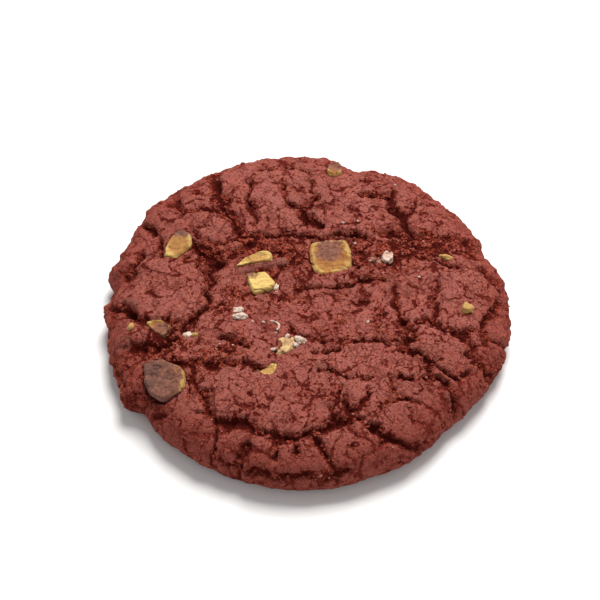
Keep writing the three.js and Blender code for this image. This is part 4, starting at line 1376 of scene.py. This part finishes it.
def chocolate_material(name, light, dark, palest, settings):
    """Chocolate, mottled by baking, with painted shade in its creases and a film of crust where the mesh says
    so.
    """
    material, n, shader = new_material(name)
    patches = n.group("Blotches", Size=2.6, Contrast=3.2)["Mask"]
    stain = n.group("Blotches", Size=0.9, Contrast=3.0)["Mask"]
    streak = n.group("Blotches", Size=1.3, Contrast=2.4)["Mask"]
    grain = n.group("Baked grain", Size=0.35)
    crease = n.attribute("crease")
    film = n.above(n.plus(n.attribute("film"), n.times(streak, 0.7)), 0.62, 1.8)
    grey = n.times(n.attribute("grey"), n.plus(patches, 0.5), clamp=True)
    film_colour = n.layered(
        n.blend(stain, settings.film_dark, settings.film_light),
        (
            (grey, 1.0, settings.film_grey),
            # Painted shade in the film's creases
            (crease, 0.35, settings.film_crease_shade),
        ),
    )
    colour = n.layered(
        n.blend(patches, dark, light),
        (
            (stain, 0.3, dark),
            (n.attribute("pale"), 0.85, palest),
            # Painted shade in the creases
            (crease, 0.35, dark),
            (film, 1.0, film_colour),
        ),
    )
    n.feed(shader["Base Color"], colour)
    n.feed(shader["Roughness"], n.plus(n.times(film, 0.2), 0.55))
    n.feed(shader["Normal"], bumpy(n, n.total((grain["Height"], 0.12), (streak, 0.15))))
    shader["Specular IOR Level"].default_value = 0.25
    shader["Subsurface Weight"].default_value = 0.1
    shader["Subsurface Radius"].default_value = (1.0, 0.6, 0.3)
    shader["Subsurface Scale"].default_value = 1.0 * MM
    return material


def floor_material(settings):
    """A plain floor, very slightly uneven in shade."""
    material, n, shader = new_material("pale_floor")
    patches = n.group("Blotches", Size=90.0, Contrast=1.0)["Mask"]
    shade = tuple(0.985 * c for c in settings.floor_colour[:3]) + (1.0,)
    n.feed(shader["Base Color"], n.blend(patches, shade, settings.floor_colour))
    shader["Roughness"].default_value = 0.9
    shader["Specular IOR Level"].default_value = 0.1
    return material


# ---- stage


def link_turned(name, data, place, back):
    """A lamp or camera at a place, turned so that back points behind it."""
    item = bpy.data.objects.new(name, data)
    item.location = place
    item.rotation_euler = back.to_track_quat("Z", "Y").to_euler()
    bpy.context.scene.collection.objects.link(item)
    return item


def build_camera():
    """The photo's view of the cookie."""
    back = Vector((0, -math.cos(CAMERA_ELEVATION), math.sin(CAMERA_ELEVATION)))
    up = Vector((0, math.sin(CAMERA_ELEVATION), math.cos(CAMERA_ELEVATION)))
    right = Vector((1, 0, 0))
    middle = Vector((0, 0, MIDDLE_HEIGHT))
    aim = middle + (FRAME_RIGHT_PX * right + FRAME_UP_PX * up) / PHOTO_PIXELS_PER_MM
    data = bpy.data.cameras.new("camera")
    data.lens = CAMERA_LENS
    data.sensor_width = 36.0
    data.clip_start = 0.01
    data.clip_end = 20.0
    place = (aim + back * CAMERA_DISTANCE) * MM
    bpy.context.scene.camera = link_turned("camera", data, place, back)


def soft_light(name, place, size, energy, colour):
    """A round lamp that shines at the cookie's middle. Place and size are in metres."""
    data = bpy.data.lights.new(name, "AREA")
    data.shape = "DISK"
    data.size = size
    data.energy = energy
    data.color = colour
    link_turned(name, data, place, Vector(place))


def build_stage(settings):
    """The plain floor, the room's light, two soft lamps and the camera."""
    corners = [(x * FLOOR_HALF, y * FLOOR_HALF, 0) for x, y in ((-1, -1), (1, -1), (1, 1), (-1, 1))]
    mesh = bpy.data.meshes.new("floor")
    mesh.from_pydata(corners, [], [(0, 1, 2, 3)])
    mesh.materials.append(floor_material(settings))
    floor = bpy.data.objects.new("floor", mesh)
    bpy.context.scene.collection.objects.link(floor)
    soft_light("back_light", (0.12, 0.45, 0.78), 0.5, settings.key_energy, (1.0, 0.98, 0.95))
    soft_light("front_light", (0.35, -0.7, 0.6), 0.6, settings.fill_energy, (0.96, 0.98, 1.0))
    world = bpy.data.worlds.new("room")
    world.use_nodes = True
    background = world.node_tree.nodes["Background"].inputs
    background["Color"].default_value = (1.0, 1.0, 1.0, 1.0)
    background["Strength"].default_value = settings.room_light
    bpy.context.scene.world = world
    bpy.context.scene.view_settings.view_transform = "Standard"
    build_camera()


# ---- add-on


def colour_property(name, description, default):
    return bpy.props.FloatVectorProperty(
        name=name, description=description, default=(*default, 1.0), size=4, min=0.0, max=1.0, subtype="COLOR"
    )


def share_property(name, description, default, most):
    return bpy.props.FloatProperty(
        name=name, description=description, default=default, min=0.0, max=most, subtype="FACTOR"
    )


def count_property(name, description, default):
    return bpy.props.IntProperty(name=name, description=description, default=default, min=0)


def lamp_property(name, description, default):
    return bpy.props.FloatProperty(name=name, description=description, default=default, min=0.0, unit="POWER")


class CrustSettings(bpy.types.PropertyGroup):
    """Sizes and colours of the crust."""

    crack_depth: share_property("Crack depth", "Depth of the small cracks against the photo's", 1.0, 2.0)
    crumb_relief: share_property("Crumb relief", "Height of the crumb's grains against the photo's", 1.0, 2.0)
    plate_light: colour_property("Plates, light", "Lighter patches of the crust", (0.35, 0.11, 0.09))
    plate_dark: colour_property("Plates, dark", "Darker patches of the crust", (0.27, 0.073, 0.057))
    crumb_colour: colour_property("Crumb", "Open crumb in hollows and cracks", (0.46, 0.098, 0.060))
    toasted_colour: colour_property("Toasted crumb", "Patches of orange crumb", (0.48, 0.100, 0.046))
    browned_colour: colour_property("Browned", "Browned patches of the crust", (0.21, 0.068, 0.040))
    # Painted highlights: pale specks on the crust and on a few crumbs
    highlight_speck_colour: colour_property("Highlight specks", "Pale specks on the crust", (0.52, 0.22, 0.19))
    # The cracks' walls, and painted shade in hollows, gaps, pits, on the side and on crumbs in cracks
    wall_and_shade_colour: colour_property("Crack walls", "Walls of the cracks and pits", (0.24, 0.029, 0.016))
    # Painted shade deep in cracks, pits, holes and gaps between grains
    crack_shade_colour: colour_property("Cracks", "Deep in the cracks", (0.09, 0.0060, 0.0034))
    buried_colour: colour_property("Buried", "Crust over buried chocolate", (0.205, 0.088, 0.070))
    base_colour: colour_property("Underside", "Browned underside", (0.13, 0.035, 0.022))


class ChocolateSettings(bpy.types.PropertyGroup):
    """Colours of the chocolate pieces."""

    golden_pale: colour_property("Golden, pale", "Palest parts of the golden pieces", (0.80, 0.58, 0.19))
    golden_light: colour_property("Golden", "Lighter patches of the golden pieces", (0.47, 0.225, 0.056))
    golden_dark: colour_property("Golden, browned", "Browned patches of these pieces", (0.28, 0.094, 0.021))
    cream_light: colour_property("Cream", "Lighter patches of the crumbled piece", (0.72, 0.50, 0.23))
    cream_dark: colour_property("Cream, browned", "Browned patches of the crumbled piece", (0.46, 0.21, 0.13))
    white_pale: colour_property("White, pale", "Palest parts of the white pieces", (0.82, 0.66, 0.55))
    white_light: colour_property("White", "Lighter patches of the white pieces", (0.70, 0.54, 0.44))
    white_dark: colour_property("White, browned", "Darker patches of the white pieces", (0.55, 0.31, 0.24))
    film_light: colour_property("Film, light", "Lighter crust film on the pieces", (0.36, 0.145, 0.095))
    film_dark: colour_property("Film, dark", "Darker crust film on the pieces", (0.17, 0.056, 0.030))
    film_grey: colour_property("Film, grey", "Greyish film on some pieces", (0.125, 0.060, 0.050))
    # Painted shade in the creases of the film
    film_crease_shade: colour_property("Film creases", "Creases in the film", (0.09, 0.026, 0.016))


class CrumbSettings(bpy.types.PropertyGroup):
    """Loose and half-buried crumbs."""

    coarse_count: count_property("Coarse crumbs", "Number of coarse crumbs", 500)
    fine_count: count_property("Fine crumbs", "Number of fine crumbs", 8000)
    strays: share_property("Strays", "Share of the crumbs that lie on the plates", 0.006, 1.0)


class StageSettings(bpy.types.PropertyGroup):
    """Floor and lights."""

    floor_colour: colour_property("Floor", "The plain floor", (0.9, 0.9, 0.9))
    key_energy: lamp_property("Back light", "Light from behind", 11.0)
    fill_energy: lamp_property("Front light", "Light from the front", 0.8)
    room_light: share_property("Room light", "Light from all round", 0.4, 2.0)


class COOKIE_OT_crust(bpy.types.Operator):
    """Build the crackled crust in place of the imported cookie"""

    bl_idname = "cookie.crust"
    bl_label = "Crust"

    def execute(self, context):
        build_crust(context.scene.cookie_crust)
        return {"FINISHED"}


class COOKIE_OT_chocolate(bpy.types.Operator):
    """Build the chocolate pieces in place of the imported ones"""

    bl_idname = "cookie.chocolate"
    bl_label = "Chocolate pieces"

    def execute(self, context):
        build_chocolate(context.scene.cookie_chocolate)
        return {"FINISHED"}


class COOKIE_OT_bits(bpy.types.Operator):
    """Build the small bits of chocolate, which take the materials of the chocolate pieces"""

    bl_idname = "cookie.bits"
    bl_label = "Small bits"

    def execute(self, context):
        build_bits(context.scene.cookie_crust)
        return {"FINISHED"}


class COOKIE_OT_crumbs(bpy.types.Operator):
    """Scatter crumbs in the cracks and hollows"""

    bl_idname = "cookie.crumbs"
    bl_label = "Crumbs"

    def execute(self, context):
        build_crumbs(context.scene.cookie_crumbs, context.scene.cookie_crust)
        return {"FINISHED"}


class COOKIE_OT_stage(bpy.types.Operator):
    """Build the floor, the lights and the camera"""

    bl_idname = "cookie.stage"
    bl_label = "Stage"

    def execute(self, context):
        build_stage(context.scene.cookie_stage)
        return {"FINISHED"}


class COOKIE_PT_panel(bpy.types.Panel):
    """Everything that builds the cookie"""

    bl_idname = "COOKIE_PT_panel"
    bl_label = "Red Velvet Cookie"
    bl_space_type = "VIEW_3D"
    bl_region_type = "UI"
    bl_category = "Cookie"

    def draw(self, context):
        for key, settings, operators in PARTS:
            box = self.layout.box()
            for name in settings.__annotations__:
                box.prop(getattr(context.scene, key), name)
            for operator in operators:
                box.operator(operator.bl_idname)


PARTS = (
    ("cookie_crust", CrustSettings, (COOKIE_OT_crust,)),
    ("cookie_chocolate", ChocolateSettings, (COOKIE_OT_chocolate, COOKIE_OT_bits)),
    ("cookie_crumbs", CrumbSettings, (COOKIE_OT_crumbs,)),
    ("cookie_stage", StageSettings, (COOKIE_OT_stage,)),
)
OPERATORS = tuple(operator for _, _, operators in PARTS for operator in operators)
CLASSES = (*[settings for _, settings, _ in PARTS], *OPERATORS, COOKIE_PT_panel)


def register():
    for cls in CLASSES:
        bpy.utils.register_class(cls)
    for key, settings, _ in PARTS:
        setattr(bpy.types.Scene, key, bpy.props.PointerProperty(type=settings))


def unregister():
    for key, _, _ in PARTS:
        delattr(bpy.types.Scene, key)
    for cls in reversed(CLASSES):
        bpy.utils.unregister_class(cls)


def main():
    register()
    bpy.ops.cookie.stage()
    bpy.ops.cookie.crust()
    bpy.ops.cookie.chocolate()
    bpy.ops.cookie.bits()
    bpy.ops.cookie.crumbs()


if __name__ == "__main__":
    main()
